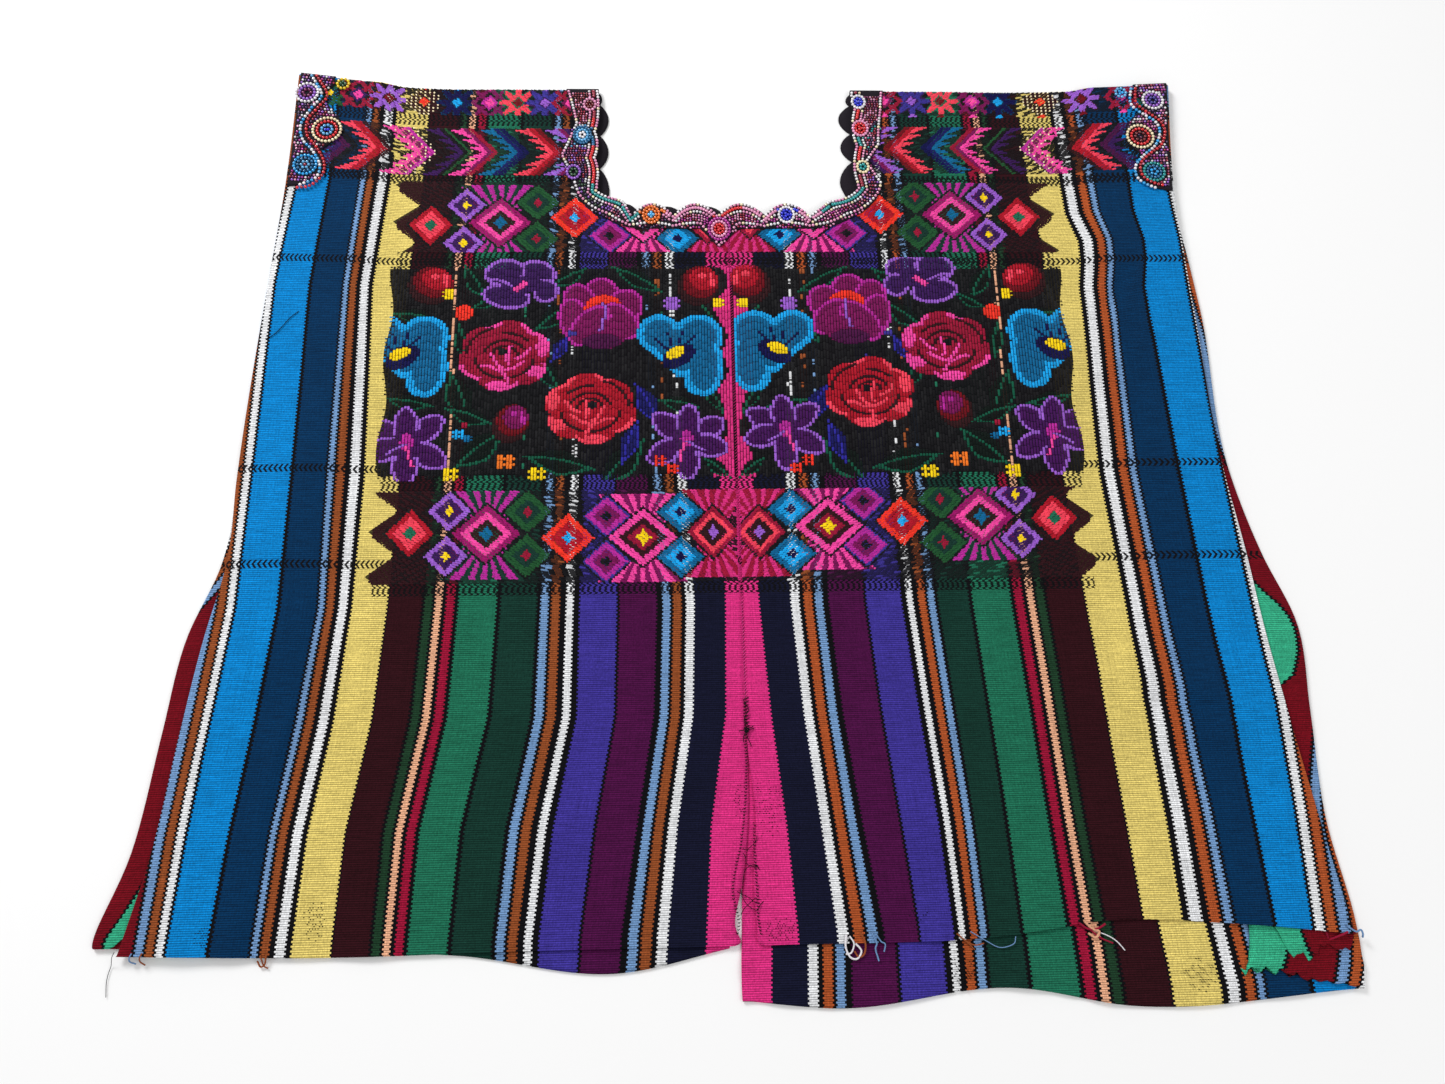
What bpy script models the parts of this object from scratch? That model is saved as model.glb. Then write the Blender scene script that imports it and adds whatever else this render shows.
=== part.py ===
"""A huipil blouse laid flat, front side up.

Two loom-woven lengths of cloth are folded over at the shoulders and joined down the middle, front and
back. Each outer edge is turned in, and below the armholes the turned-in edges are sewn together, so each
side is a valley fold. A scalloped felt trim follows the neck hole over both layers, and a wavy one follows
each armhole.

+X is the wearer's left (the picture's right), +Y runs to the shoulders and +Z points up from the surface.
Lengths in the tables are millimetres: across from the middle seam and down from the shoulder line.
"""

import math

import bmesh
import bpy
import numpy as np

MM = 0.001

# Where the middle seam and the shoulder line lie, so that the origin is under the middle of the blouse.
SEAM_X = 5.3
SHOULDER_Y = 376.6

# Thicknesses and clearances.
CLOTH = 1.2
FELT = 1.0
GAP = 0.3
PITCH = CLOTH + GAP
TRIM_LIFT = FELT + GAP

# Half the distance between the middles of two touching layers is the radius of the fold that joins them.
FOLD_RADIUS = PITCH / 2
SIDE_RADIUS = 3 * FOLD_RADIUS
SHOULDER_INSET = 4.15

# The neck hole: a U with round corners, measured at the roots of the trim's scallops.
NECK_HALF_WIDTH = 111.0
NECK_DEPTH = 134.0
NECK_CORNER = 34.0
NECK_ARC = NECK_CORNER * math.pi / 2
NECK_FLAT = NECK_HALF_WIDTH - NECK_CORNER
NECK_REACH = NECK_FLAT + NECK_ARC + NECK_DEPTH - NECK_CORNER
CLOTH_SETBACK = 4.0

# The trim's scallops: they have their full height from this span on, and the roundness of a sine's power.
FULL_SCALLOP = 36.0
SCALLOP_ROUNDNESS = 0.8

# Width of the edge that is turned in at each side, and the slope that leads up to it.
TURNED_IN = 62.0
SLOPE_START = 32.0
SLOPE_END = 6.0

# The trim lifts the cloth round the neck and at the armholes, and this is how far the lift reaches.
NECK_LIFT_FULL = 85.0
NECK_LIFT_NONE = 150.0
ARMHOLE_LIFT_FULL = 158.0
ARMHOLE_LIFT_NONE = 215.0

# Half-widths of the four folded side edges.
SIDE_COLUMNS = ("down", "left_front", "left_back", "right_front", "right_back")
SIDES = (
    (-14.0, 375.0, 375.0, 404.0, 404.0),
    (110.0, 376.0, 376.0, 391.5, 391.5),
    (230.0, 383.0, 384.0, 392.0, 399.0),
    (370.0, 388.0, 388.0, 394.0, 400.0),
    (440.0, 388.0, 393.0, 401.0, 415.0),
    (495.0, 398.0, 412.0, 405.0, 433.0),
    (560.0, 407.0, 421.0, 412.0, 431.0),
    (630.0, 416.0, 431.0, 422.0, 428.0),
    (690.0, 428.0, 449.0, 430.0, 436.0),
    (762.0, 434.0, 440.0, 436.0, 433.0),
)

# The middle seam and, below its knot, the open slit: places across, to the right of the seam.
CENTRE_COLUMNS = ("down", "left_front", "left_back", "right_front", "right_back")
CENTRE = (
    (138.0, 0.0, 0.0, 0.0, 0.0),
    (480.0, 3.2, 3.2, 3.2, 3.2),
    (540.0, 3.8, 2.2, 3.8, 3.9),
    (570.0, 4.0, 1.0, 4.0, 3.5),
    (612.0, 3.5, -2.0, 8.5, 1.5),
    (650.0, -1.0, -6.0, 6.0, -2.0),
    (685.0, -8.0, -12.0, 7.0, -3.5),
    (712.0, -5.0, -12.0, 8.5, -4.5),
    (724.0, -12.0, -12.0, 12.5, -4.5),
    (766.0, -12.0, -12.0, 12.5, -4.0),
)

# How far down each hem lies, at places across.
HEM_COLUMNS = ("across", "down")
HEMS = {
    "left_front": ((10.0, 722.0), (150.0, 722.0), (300.0, 723.0), (434.0, 719.0)),
    "left_back": ((10.0, 723.0), (90.0, 738.0), (200.0, 724.0), (300.0, 719.0), (440.0, 714.0)),
    "right_front": ((10.0, 722.0), (190.0, 719.0), (265.0, 710.0), (340.0, 714.0), (436.0, 724.0)),
    "right_back": ((0.0, 758.0), (60.0, 764.0), (190.0, 754.0), (265.0, 767.0), (433.0, 760.0)),
}

# How much higher each shoulder's tip lies than its root, and where that rise starts.
SHOULDER_RISE = {-1: 15.0, 1: 6.0}
RISE_START = 200.0
RISE_END = 390.0
RISE_DEPTH = 220.0

# Low swells of the front layer. An angle is measured anticlockwise from +X.
SWELL_COLUMNS = ("side", "across", "down", "angle", "length", "width", "height")
SWELLS = (
    (1, 300.0, 235.0, 62.0, 210.0, 80.0, 2.4),
    (1, 330.0, 545.0, -14.0, 240.0, 90.0, 3.2),
    (1, 160.0, 640.0, 82.0, 200.0, 95.0, 2.0),
    (1, 30.0, 665.0, 84.0, 190.0, 80.0, 2.2),
    (-1, 350.0, 420.0, 84.0, 420.0, 90.0, 2.6),
    (-1, 190.0, 600.0, 74.0, 260.0, 100.0, 2.2),
    (-1, 35.0, 650.0, 98.0, 190.0, 80.0, 2.0),
)

# Roots of the neck trim's scallops, along the U from its bottom middle, to the right.
FRONT_ROOTS = (-226.0, -182.0, -155.0, -122.0, -83.0, -47.0, -9.0, 31.0, 70.0, 125.0, 168.0, 206.0, 226.0)
BACK_ROOTS_RIGHT = (35.0, 70.0, 112.0, 155.0, 184.0, 214.0, 226.0)
BACK_ROOTS_LEFT = (-226.0, -214.0, -181.0, -147.0, -110.0, -70.0, -35.0)
BACK_ROOTS = (*BACK_ROOTS_LEFT, 0.0, *BACK_ROOTS_RIGHT)

# Offset of the scallops' roots from the U, and their full height. At the sides the back's reach further.
SCALLOP_COLUMNS = ("along", "front_root", "front_height", "back_root", "back_height")
SCALLOPS = (
    (-226.0, 1.5, 2.5, 1.5, 7.0),
    (-205.0, 3.0, 3.0, 0.0, 8.0),
    (-130.0, 3.0, 4.0, 0.0, 8.0),
    (-95.0, 0.0, 13.0, 0.0, 13.0),
    (95.0, 0.0, 13.0, 0.0, 13.0),
    (130.0, 3.0, 4.0, 0.0, 12.0),
    (205.0, 3.0, 3.0, 0.0, 12.0),
    (226.0, 1.5, 2.5, 1.5, 10.0),
)

# How far the neck trim reaches over the cloth, with a drop at each bead cluster.
REACH_COLUMNS = ("along", "reach")
NECK_REACHES = (
    (-226.0, 30.0),
    (-190.0, 22.0),
    (-158.0, 34.0),
    (-125.0, 21.0),
    (-100.0, 11.0),
    (-24.0, 12.0),
    (-8.0, 31.0),
    (8.0, 12.0),
    (100.0, 11.0),
    (130.0, 25.0),
    (152.0, 14.0),
    (170.0, 25.0),
    (226.0, 31.0),
)

# Width of the armhole trims.
ARMHOLE_COLUMNS = ("down", "width")
ARMHOLE_WIDTHS = (
    (0.0, 29.0),
    (10.0, 31.0),
    (24.0, 20.0),
    (44.0, 38.0),
    (62.0, 38.0),
    (76.0, 25.0),
    (91.0, 31.0),
    (103.0, 25.0),
    (109.0, 15.0),
    (112.0, 4.0),
)
ARMHOLE_INSET = 1.0

# How finely the sheets are divided, and how late the rows take up the hem's line.
NECK_SIDE_ROWS = 3
NECK_ARC_ROWS = 4
NECK_FLAT_ROWS = 3
BODY_ROWS = {"front": 18, "back": 15}
OUTER_ROW_STEP = 22.0
HEM_FOLLOW = 8
HEM_DEPTH = 720.0
MAIN_COLUMNS = 8
FLAP_COLUMNS = 3
SIDE_FOLD_STEPS = 4
SHOULDER_STEPS = 6
SCALLOP_STEPS = 6
TRIM_COLUMNS = 3
ROUNDED_ROWS = 3
ARMHOLE_ROWS = 14
SHARP_ANGLE = math.radians(40)

CLOTH_ROUGHNESS = 0.85
FELT_ROUGHNESS = 0.8

COLOURS = {
    "panel_left": (0.022, 0.030, 0.060),
    "panel_right": (0.020, 0.034, 0.066),
    "neck_trim": (0.055, 0.010, 0.022),
    "armhole_trim_left": (0.060, 0.020, 0.065),
    "armhole_trim_right": (0.065, 0.020, 0.060),
}


def clear_scene():
    """Empties the file that the script runs in."""
    for obj in list(bpy.data.objects):
        bpy.data.objects.remove(obj, do_unlink=True)


def column(table, columns, name, place):
    """Reads one named column of a table at a place along its first column."""
    rows = np.array(table)
    return float(np.interp(place, rows[:, 0], rows[:, columns.index(name)]))


def edge_name(side, layer):
    return f"{'left' if side < 0 else 'right'}_{layer}"


def side_edge(side, layer, down):
    """Half-width of a layer at its folded side edge."""
    return column(SIDES, SIDE_COLUMNS, edge_name(side, layer), down)


def centre_edge(side, layer, down):
    """Distance across from the seam line to a layer's inner edge, negative beyond the line."""
    return side * column(CENTRE, CENTRE_COLUMNS, edge_name(side, layer), down) + GAP / 2


def hem_down(side, layer, across):
    return column(HEMS[edge_name(side, layer)], HEM_COLUMNS, "down", across)


def shoulder_rise(side, across, down):
    """How much higher a point lies because the shoulder line rises towards its tip."""
    share = max(0.0, (abs(across) - RISE_START) / (RISE_END - RISE_START))
    return SHOULDER_RISE[side] * share**2 * max(0.0, 1 - down / RISE_DEPTH)


def ease(value, start, end):
    """Runs smoothly from 0 at start to 1 at end."""
    share = min(1.0, max(0.0, (value - start) / (end - start)))
    return share * share * (3 - 2 * share)


def neck_point(along, offset):
    """(across, down) of a point beside the neck hole's U, moved out from the hole by offset."""
    reach = abs(along)
    if reach <= NECK_FLAT:
        across = reach
        down = NECK_DEPTH + offset
    elif reach <= NECK_FLAT + NECK_ARC:
        angle = (reach - NECK_FLAT) / NECK_CORNER
        radius = NECK_CORNER + offset
        across = NECK_FLAT + radius * math.sin(angle)
        down = NECK_DEPTH - NECK_CORNER + radius * math.cos(angle)
    else:
        across = NECK_HALF_WIDTH + offset
        down = NECK_REACH - reach
    return math.copysign(across, along), down


def neck_distance(across, down):
    """Distance of a point outside the neck hole from its edge."""
    past_side = abs(across) - NECK_FLAT
    past_bottom = down - (NECK_DEPTH - NECK_CORNER)
    return math.hypot(max(past_side, 0.0), max(past_bottom, 0.0)) - NECK_CORNER


def neck_lift(across, down):
    """How far the neck trim's back half lifts the cloth off the surface."""
    return TRIM_LIFT * (1 - ease(neck_distance(across, down), NECK_LIFT_FULL, NECK_LIFT_NONE))


def armhole_lift(outer_down):
    return TRIM_LIFT * (1 - ease(outer_down, ARMHOLE_LIFT_FULL, ARMHOLE_LIFT_NONE))


def swell(side, across, down):
    """Height of the front layer's low swells at a point."""
    height = 0.0
    for row in SWELLS:
        fold = dict(zip(SWELL_COLUMNS, row))
        if fold["side"] != side:
            continue
        angle = math.radians(fold["angle"])
        step_x = side * (across - fold["across"])
        step_y = fold["down"] - down
        ahead = step_x * math.cos(angle) + step_y * math.sin(angle)
        beside = step_y * math.cos(angle) - step_x * math.sin(angle)
        ahead_share = max(0.0, 1 - (2 * ahead / fold["length"]) ** 2)
        beside_share = max(0.0, 1 - (2 * beside / fold["width"]) ** 2)
        height += fold["height"] * (ahead_share * beside_share) ** 2
    return height


def wall_mesh(name, outer, inner, closed_rows=False):
    """A closed wall between two grids of points. closed_rows joins the last row to the first."""
    rows = len(outer)
    columns = len(outer[0])
    bm = bmesh.new()
    sheets = [
        [[bm.verts.new([value * MM for value in point]) for point in row] for row in grid]
        for grid in (outer, inner)
    ]
    row_pairs = [(row, (row + 1) % rows) for row in range(rows if closed_rows else rows - 1)]
    over, under = sheets
    for row, after in row_pairs:
        for place in range(columns - 1):
            for sheet in sheets:
                near = sheet[row][place : place + 2]
                far = sheet[after][place : place + 2]
                bm.faces.new((*near, *reversed(far)))
        for place in (0, columns - 1):
            bm.faces.new((over[row][place], over[after][place], under[after][place], under[row][place]))
    for row in () if closed_rows else (0, rows - 1):
        for place in range(columns - 1):
            bm.faces.new((*over[row][place : place + 2], *reversed(under[row][place : place + 2])))
    bmesh.ops.recalc_face_normals(bm, faces=bm.faces)
    mesh = bpy.data.meshes.new(name)
    bm.to_mesh(mesh)
    bm.free()
    mesh.shade_smooth()
    mesh.set_sharp_from_angle(angle=SHARP_ANGLE)
    return mesh


def add_object(name, mesh, roughness):
    """Makes the object and its material."""
    material = bpy.data.materials.new(name)
    material.use_nodes = True
    shader = material.node_tree.nodes["Principled BSDF"]
    shader.inputs["Base Color"].default_value = (*COLOURS[name], 1.0)
    shader.inputs["Roughness"].default_value = roughness
    shader.inputs["Metallic"].default_value = 0.0
    mesh.materials.append(material)
    obj = bpy.data.objects.new(name, mesh)
    bpy.context.scene.collection.objects.link(obj)
    return obj


def neck_rows():
    """Rows that start on the neck hole's edge, as (along the U, down at the side edge)."""
    top = NECK_REACH - SHOULDER_INSET
    side_start = NECK_FLAT + NECK_ARC
    stations = list(np.linspace(top, side_start, NECK_SIDE_ROWS + 1))
    stations += list(np.linspace(side_start, NECK_FLAT, NECK_ARC_ROWS + 1))[1:]
    stations += list(np.linspace(NECK_FLAT, 0.0, NECK_FLAT_ROWS + 1))[1:]
    outer = [max(SHOULDER_INSET, OUTER_ROW_STEP * count) for count in range(len(stations))]
    return list(zip(stations, outer))


def layer_rows(side, layer):
    """Rows of one layer from the shoulder to the hem: inner across, inner down, outer down, hem share."""
    rows = []
    for along, outer_down in neck_rows():
        across, down = neck_point(along, CLOTH_SETBACK)
        rows.append((max(across, centre_edge(side, layer, down)), down, outer_down, 0.0))
    start_inner = rows[-1][1]
    start_outer = rows[-1][2]
    end_inner = hem_down(side, layer, 0.0)
    end_outer = hem_down(side, layer, side_edge(side, layer, HEM_DEPTH))
    count = BODY_ROWS[layer]
    for step in range(1, count + 1):
        share = step / count
        inner_down = start_inner + (end_inner - start_inner) * share
        outer_down = start_outer + (end_outer - start_outer) * share
        rows.append((centre_edge(side, layer, inner_down), inner_down, outer_down, share**HEM_FOLLOW))
    return rows


def row_columns(side, layer, inner_across, outer_down):
    """Columns of one row: across, radius from the shoulder fold's middle, height of that middle, normal."""
    edge = side_edge(side, layer, outer_down)
    flap = side_edge(side, "front", outer_down) - TURNED_IN
    slope_start = flap - SLOPE_START
    low = FOLD_RADIUS + CLOTH / 2
    high = SIDE_RADIUS + CLOTH / 2
    columns = []
    for across in np.linspace(inner_across, slope_start, MAIN_COLUMNS + 1):
        columns.append((across, FOLD_RADIUS, low, (0.0, 1.0)))
    columns.append((flap - SLOPE_END, SIDE_RADIUS, high, (0.0, 1.0)))
    for across in np.linspace(flap, edge, FLAP_COLUMNS + 1):
        columns.append((across, SIDE_RADIUS, high, (0.0, 1.0)))
    for step in range(1, SIDE_FOLD_STEPS + 1):
        turn = math.pi * step / SIDE_FOLD_STEPS
        radius = 2 * FOLD_RADIUS + FOLD_RADIUS * math.cos(turn)
        columns.append((edge + FOLD_RADIUS * math.sin(turn), radius, high, (math.sin(turn), math.cos(turn))))
    for across in list(np.linspace(edge, flap, FLAP_COLUMNS + 1))[1:]:
        columns.append((across, FOLD_RADIUS, high, (0.0, -1.0)))
    return columns


def panel_point(side, layer, row, place, columns, turn, offset):
    """One point of a panel's wall, offset from its middle sheet. turn is 0 on the back, pi on the front."""
    inner_across, inner_down, outer_down, hem_share = row
    across, radius, middle, normal = columns[place]
    edge = columns[MAIN_COLUMNS + 1 + FLAP_COLUMNS + 1][0]
    share = min(1.0, (across - inner_across) / (edge - inner_across))
    down = inner_down + (outer_down - inner_down) * share
    down += (hem_down(side, layer, across) - down) * hem_share
    main = place <= MAIN_COLUMNS + 1 + FLAP_COLUMNS + 1
    lift = armhole_lift(outer_down) if place > MAIN_COLUMNS else neck_lift(across, down)
    if layer == "front" and main:
        lift += swell(side, across, down)
    radius += normal[1] * offset
    across += normal[0] * offset
    y = shoulder_rise(side, across, down) - down + radius * math.sin(turn)
    return SEAM_X + side * across, SHOULDER_Y + y, middle + lift - radius * math.cos(turn)


def panel_grid(side, offset):
    """Rows of points from the back hem, over the shoulder, to the front hem."""
    back = layer_rows(side, "back")
    front = layer_rows(side, "front")
    path = [("back", row, 0.0) for row in reversed(back)]
    path += [("back", back[0], math.pi * step / SHOULDER_STEPS) for step in range(1, SHOULDER_STEPS)]
    path += [("front", row, math.pi) for row in front]
    grid = []
    for layer, row, turn in path:
        columns = row_columns(side, layer, row[0], row[2])
        line = range(len(columns))
        grid.append([panel_point(side, layer, row, place, columns, turn, offset) for place in line])
    return grid


def make_panel(name, side):
    """One loom length: back, shoulder fold and front, with its side edges turned in."""
    outer = panel_grid(side, CLOTH / 2)
    inner = panel_grid(side, -CLOTH / 2)
    add_object(name, wall_mesh(name, outer, inner), CLOTH_ROUGHNESS)


def scalloped_edge(roots, along):
    """Offset of the neck trim's scalloped edge from the U, negative into the hole."""
    layer = "front" if roots is FRONT_ROOTS else "back"
    place = int(np.clip(np.searchsorted(roots, along, side="right") - 1, 0, len(roots) - 2))
    span = roots[place + 1] - roots[place]
    share = (along - roots[place]) / span
    height = column(SCALLOPS, SCALLOP_COLUMNS, f"{layer}_height", along) * min(1.0, span / FULL_SCALLOP)
    root = column(SCALLOPS, SCALLOP_COLUMNS, f"{layer}_root", along)
    return root - height * max(0.0, math.sin(math.pi * share)) ** SCALLOP_ROUNDNESS


def trim_stations(roots):
    """Places along the U, closer where the scallops and the round corners need them."""
    stations = []
    for start, end in zip(roots, roots[1:]):
        stations += list(np.linspace(start, end, SCALLOP_STEPS + 1))[:-1]
    return [*stations, roots[-1]]


def trim_row(along, roots, turn, middle, radius):
    """A row across the neck trim, from its scalloped edge outwards."""
    reach = column(NECK_REACHES, REACH_COLUMNS, "reach", along)
    row = []
    for offset in np.linspace(scalloped_edge(roots, along), reach, TRIM_COLUMNS + 1):
        across, down = neck_point(along, offset)
        y = SHOULDER_Y - down + radius * math.sin(turn)
        row.append((SEAM_X + across, y, middle - radius * math.cos(turn)))
    return row


def make_neck_trim():
    """A ring of felt: its front half on the front layer, its back half under the back layer."""
    middle = TRIM_LIFT + CLOTH / 2 + FOLD_RADIUS
    radius = FOLD_RADIUS + CLOTH / 2 + GAP + FELT / 2
    turns = [math.pi * step / SHOULDER_STEPS for step in range(1, SHOULDER_STEPS)]
    path = [(along, FRONT_ROOTS, math.pi) for along in trim_stations(FRONT_ROOTS)]
    path += [(FRONT_ROOTS[-1], FRONT_ROOTS, turn) for turn in reversed(turns)]
    path += [(along, BACK_ROOTS, 0.0) for along in reversed(trim_stations(BACK_ROOTS))]
    path += [(FRONT_ROOTS[0], FRONT_ROOTS, turn) for turn in turns]
    outer = [trim_row(*place, middle, radius + FELT / 2) for place in path]
    inner = [trim_row(*place, middle, radius - FELT / 2) for place in path]
    add_object("neck_trim", wall_mesh("neck_trim", outer, inner, closed_rows=True), FELT_ROUGHNESS)


def armhole_row(side, down, turn, middle, radius):
    """A row across an armhole trim, from its wavy edge to its straight one."""
    edge = side_edge(side, "front", down) - ARMHOLE_INSET
    width = column(ARMHOLE_WIDTHS, ARMHOLE_COLUMNS, "width", down)
    row = []
    for across in np.linspace(edge - width, edge, TRIM_COLUMNS + 1):
        y = shoulder_rise(side, across, down) - down + radius * math.sin(turn)
        row.append((SEAM_X + side * across, SHOULDER_Y + y, middle - radius * math.cos(turn)))
    return row


def make_armhole_trim(name, side):
    """A strip of felt along the armhole, folded over the shoulder."""
    middle = TRIM_LIFT + CLOTH / 2 + SIDE_RADIUS
    radius = SIDE_RADIUS + CLOTH / 2 + GAP + FELT / 2
    rounded = [row[0] for row in reversed(ARMHOLE_WIDTHS)][:ROUNDED_ROWS]
    stations = [*rounded, *np.linspace(rounded[-1], SHOULDER_INSET, ARMHOLE_ROWS + 1)[1:]]
    path = [(down, 0.0) for down in stations]
    path += [(SHOULDER_INSET, math.pi * step / SHOULDER_STEPS) for step in range(1, SHOULDER_STEPS)]
    path += [(down, math.pi) for down in reversed(stations)]
    outer = [armhole_row(side, down, turn, middle, radius + FELT / 2) for down, turn in path]
    inner = [armhole_row(side, down, turn, middle, radius - FELT / 2) for down, turn in path]
    add_object(name, wall_mesh(name, outer, inner), FELT_ROUGHNESS)


def main():
    clear_scene()
    make_panel("panel_left", -1)
    make_panel("panel_right", 1)
    make_neck_trim()
    make_armhole_trim("armhole_trim_left", -1)
    make_armhole_trim("armhole_trim_right", 1)


main()
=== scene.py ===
"""Looks of the huipil blouse: striped cloth, woven flowers and diamonds, beaded felt trims.

A place on the cloth is (across, down): across from the middle seam, on the left (side -1) or right (side 1)
half, and down from the shoulder line.
"""

import math

import bpy
import numpy as np
from mathutils import Matrix


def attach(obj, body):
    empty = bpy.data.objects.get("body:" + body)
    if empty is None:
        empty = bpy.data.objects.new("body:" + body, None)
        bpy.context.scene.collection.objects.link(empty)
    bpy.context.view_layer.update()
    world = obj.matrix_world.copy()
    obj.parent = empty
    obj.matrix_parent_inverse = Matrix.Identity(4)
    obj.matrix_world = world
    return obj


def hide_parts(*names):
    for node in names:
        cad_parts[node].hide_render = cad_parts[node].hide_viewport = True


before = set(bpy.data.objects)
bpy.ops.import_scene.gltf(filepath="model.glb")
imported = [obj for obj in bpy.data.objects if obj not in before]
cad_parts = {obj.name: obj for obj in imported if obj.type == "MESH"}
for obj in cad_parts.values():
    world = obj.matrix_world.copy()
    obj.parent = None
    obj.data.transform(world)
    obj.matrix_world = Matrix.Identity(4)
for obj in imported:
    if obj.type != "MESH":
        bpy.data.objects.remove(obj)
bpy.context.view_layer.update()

MM = 0.001
SIDES = {"left": -1, "right": 1}

# The photograph's frame in pixels, and where its camera stood over the blouse.
IMAGE_WIDTH = 1445
FOCAL_PIXELS = 1086
SENSOR_WIDTH = 36
CAMERA_PLACE = (-37.8, -301.3, 810.9)
CAMERA_TILT = math.radians(17.45)
CAMERA_HEADING = math.radians(-7.26)
CAMERA_ROLL = math.radians(6.34)
SEEN_SHARE = 0.0052
SEEN_FROM = 678

# The blouse's form, as its solids have it.
SEAM_X = 5.3
SHOULDER_Y = 376.6
CLOTH = 1.2
FELT = 1
GAP = 0.3
PITCH = CLOTH + GAP
TRIM_LIFT = FELT + GAP
FOLD_RADIUS = PITCH / 2
SIDE_RADIUS = 3 * FOLD_RADIUS
SHOULDER_INSET = 4.15
NECK_HALF_WIDTH = 111
NECK_DEPTH = 134
NECK_CORNER = 34
NECK_ARC = NECK_CORNER * math.pi / 2
NECK_FLAT = NECK_HALF_WIDTH - NECK_CORNER
NECK_REACH = NECK_FLAT + NECK_ARC + NECK_DEPTH - NECK_CORNER
CLOTH_SETBACK = 4
TURNED_IN = 62
SLOPE_START = 32
SLOPE_END = 6
NECK_LIFT_FULL = 85
NECK_LIFT_NONE = 150
ARMHOLE_LIFT_FULL = 158
ARMHOLE_LIFT_NONE = 215

# Where each layer's side edge, and then its edge at the seam, lies across at places down.
EDGE_COLUMNS = ("down", "left_front", "left_back", "right_front", "right_back")
SIDE_EDGES = (
    (-14, 375, 375, 404, 404), (110, 376, 376, 391.5, 391.5), (230, 383, 384, 392, 399),
    (370, 388, 388, 394, 400), (440, 388, 393, 401, 415), (495, 398, 412, 405, 433),
    (560, 407, 421, 412, 431), (630, 416, 431, 422, 428), (690, 428, 449, 430, 436),
    (762, 434, 440, 436, 433),
)
CENTRE = (
    (138, 0, 0, 0, 0), (480, 3.2, 3.2, 3.2, 3.2), (540, 3.8, 2.2, 3.8, 3.9), (570, 4, 1, 4, 3.5),
    (612, 3.5, -2, 8.5, 1.5), (650, -1, -6, 6, -2), (685, -8, -12, 7, -3.5), (712, -5, -12, 8.5, -4.5),
    (724, -12, -12, 12.5, -4.5), (766, -12, -12, 12.5, -4),
)
# Each hem's (across, down).
HEMS = {
    "left_front": ((10, 722), (150, 722), (300, 723), (434, 719)),
    "left_back": ((10, 723), (90, 738), (200, 724), (300, 719), (440, 714)),
    "right_front": ((10, 722), (190, 719), (265, 710), (340, 714), (436, 724)),
    "right_back": ((0, 758), (60, 764), (190, 754), (265, 767), (433, 760)),
}
# How far each shoulder's tip rises, where the rise starts and ends across, and where it ends down.
SHOULDER_RISE = {-1: 15, 1: 6}
RISE_START = 200
RISE_END = 390
RISE_DEPTH = 220

# Broad swells of the front, then its creases: side, across, down, angle anticlockwise from +X, length, width,
# height.
SWELLS = (
    (1, 300, 235, 62, 210, 80, 2.4), (1, 330, 545, -14, 240, 90, 3.2), (1, 160, 640, 82, 200, 95, 2),
    (1, 30, 665, 84, 190, 80, 2.2), (-1, 350, 420, 84, 420, 90, 2.6), (-1, 190, 600, 74, 260, 100, 2.2),
    (-1, 35, 650, 98, 190, 80, 2),
)
CREASES = (
    (1, 318, 555, -13, 190, 17, -1.5), (1, 300, 575, -10, 150, 22, 1.2), (1, 338, 208, 66, 120, 16, 1.8),
    (1, 322, 214, 60, 100, 13, -1.6), (1, 352, 238, 72, 90, 13, -1.2), (1, 210, 600, 80, 150, 20, 1.1),
    (1, 120, 668, 97, 110, 18, 1.3), (1, 60, 560, 100, 120, 20, -0.8), (1, 398, 640, 84, 150, 16, 1.4),
    (1, 20, 640, 96, 70, 14, 1.4), (-1, 26, 628, 76, 90, 14, 1.3), (-1, 330, 560, 76, 210, 20, 1.2),
    (-1, 250, 655, 80, 120, 18, -1), (-1, 150, 560, 96, 170, 18, 0.9), (-1, 345, 245, 100, 120, 16, 1.1),
    (-1, 300, 270, 92, 90, 12, -0.7), (-1, 395, 600, 74, 150, 16, 1.3), (-1, 90, 690, 90, 70, 20, 1.2),
)

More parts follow.
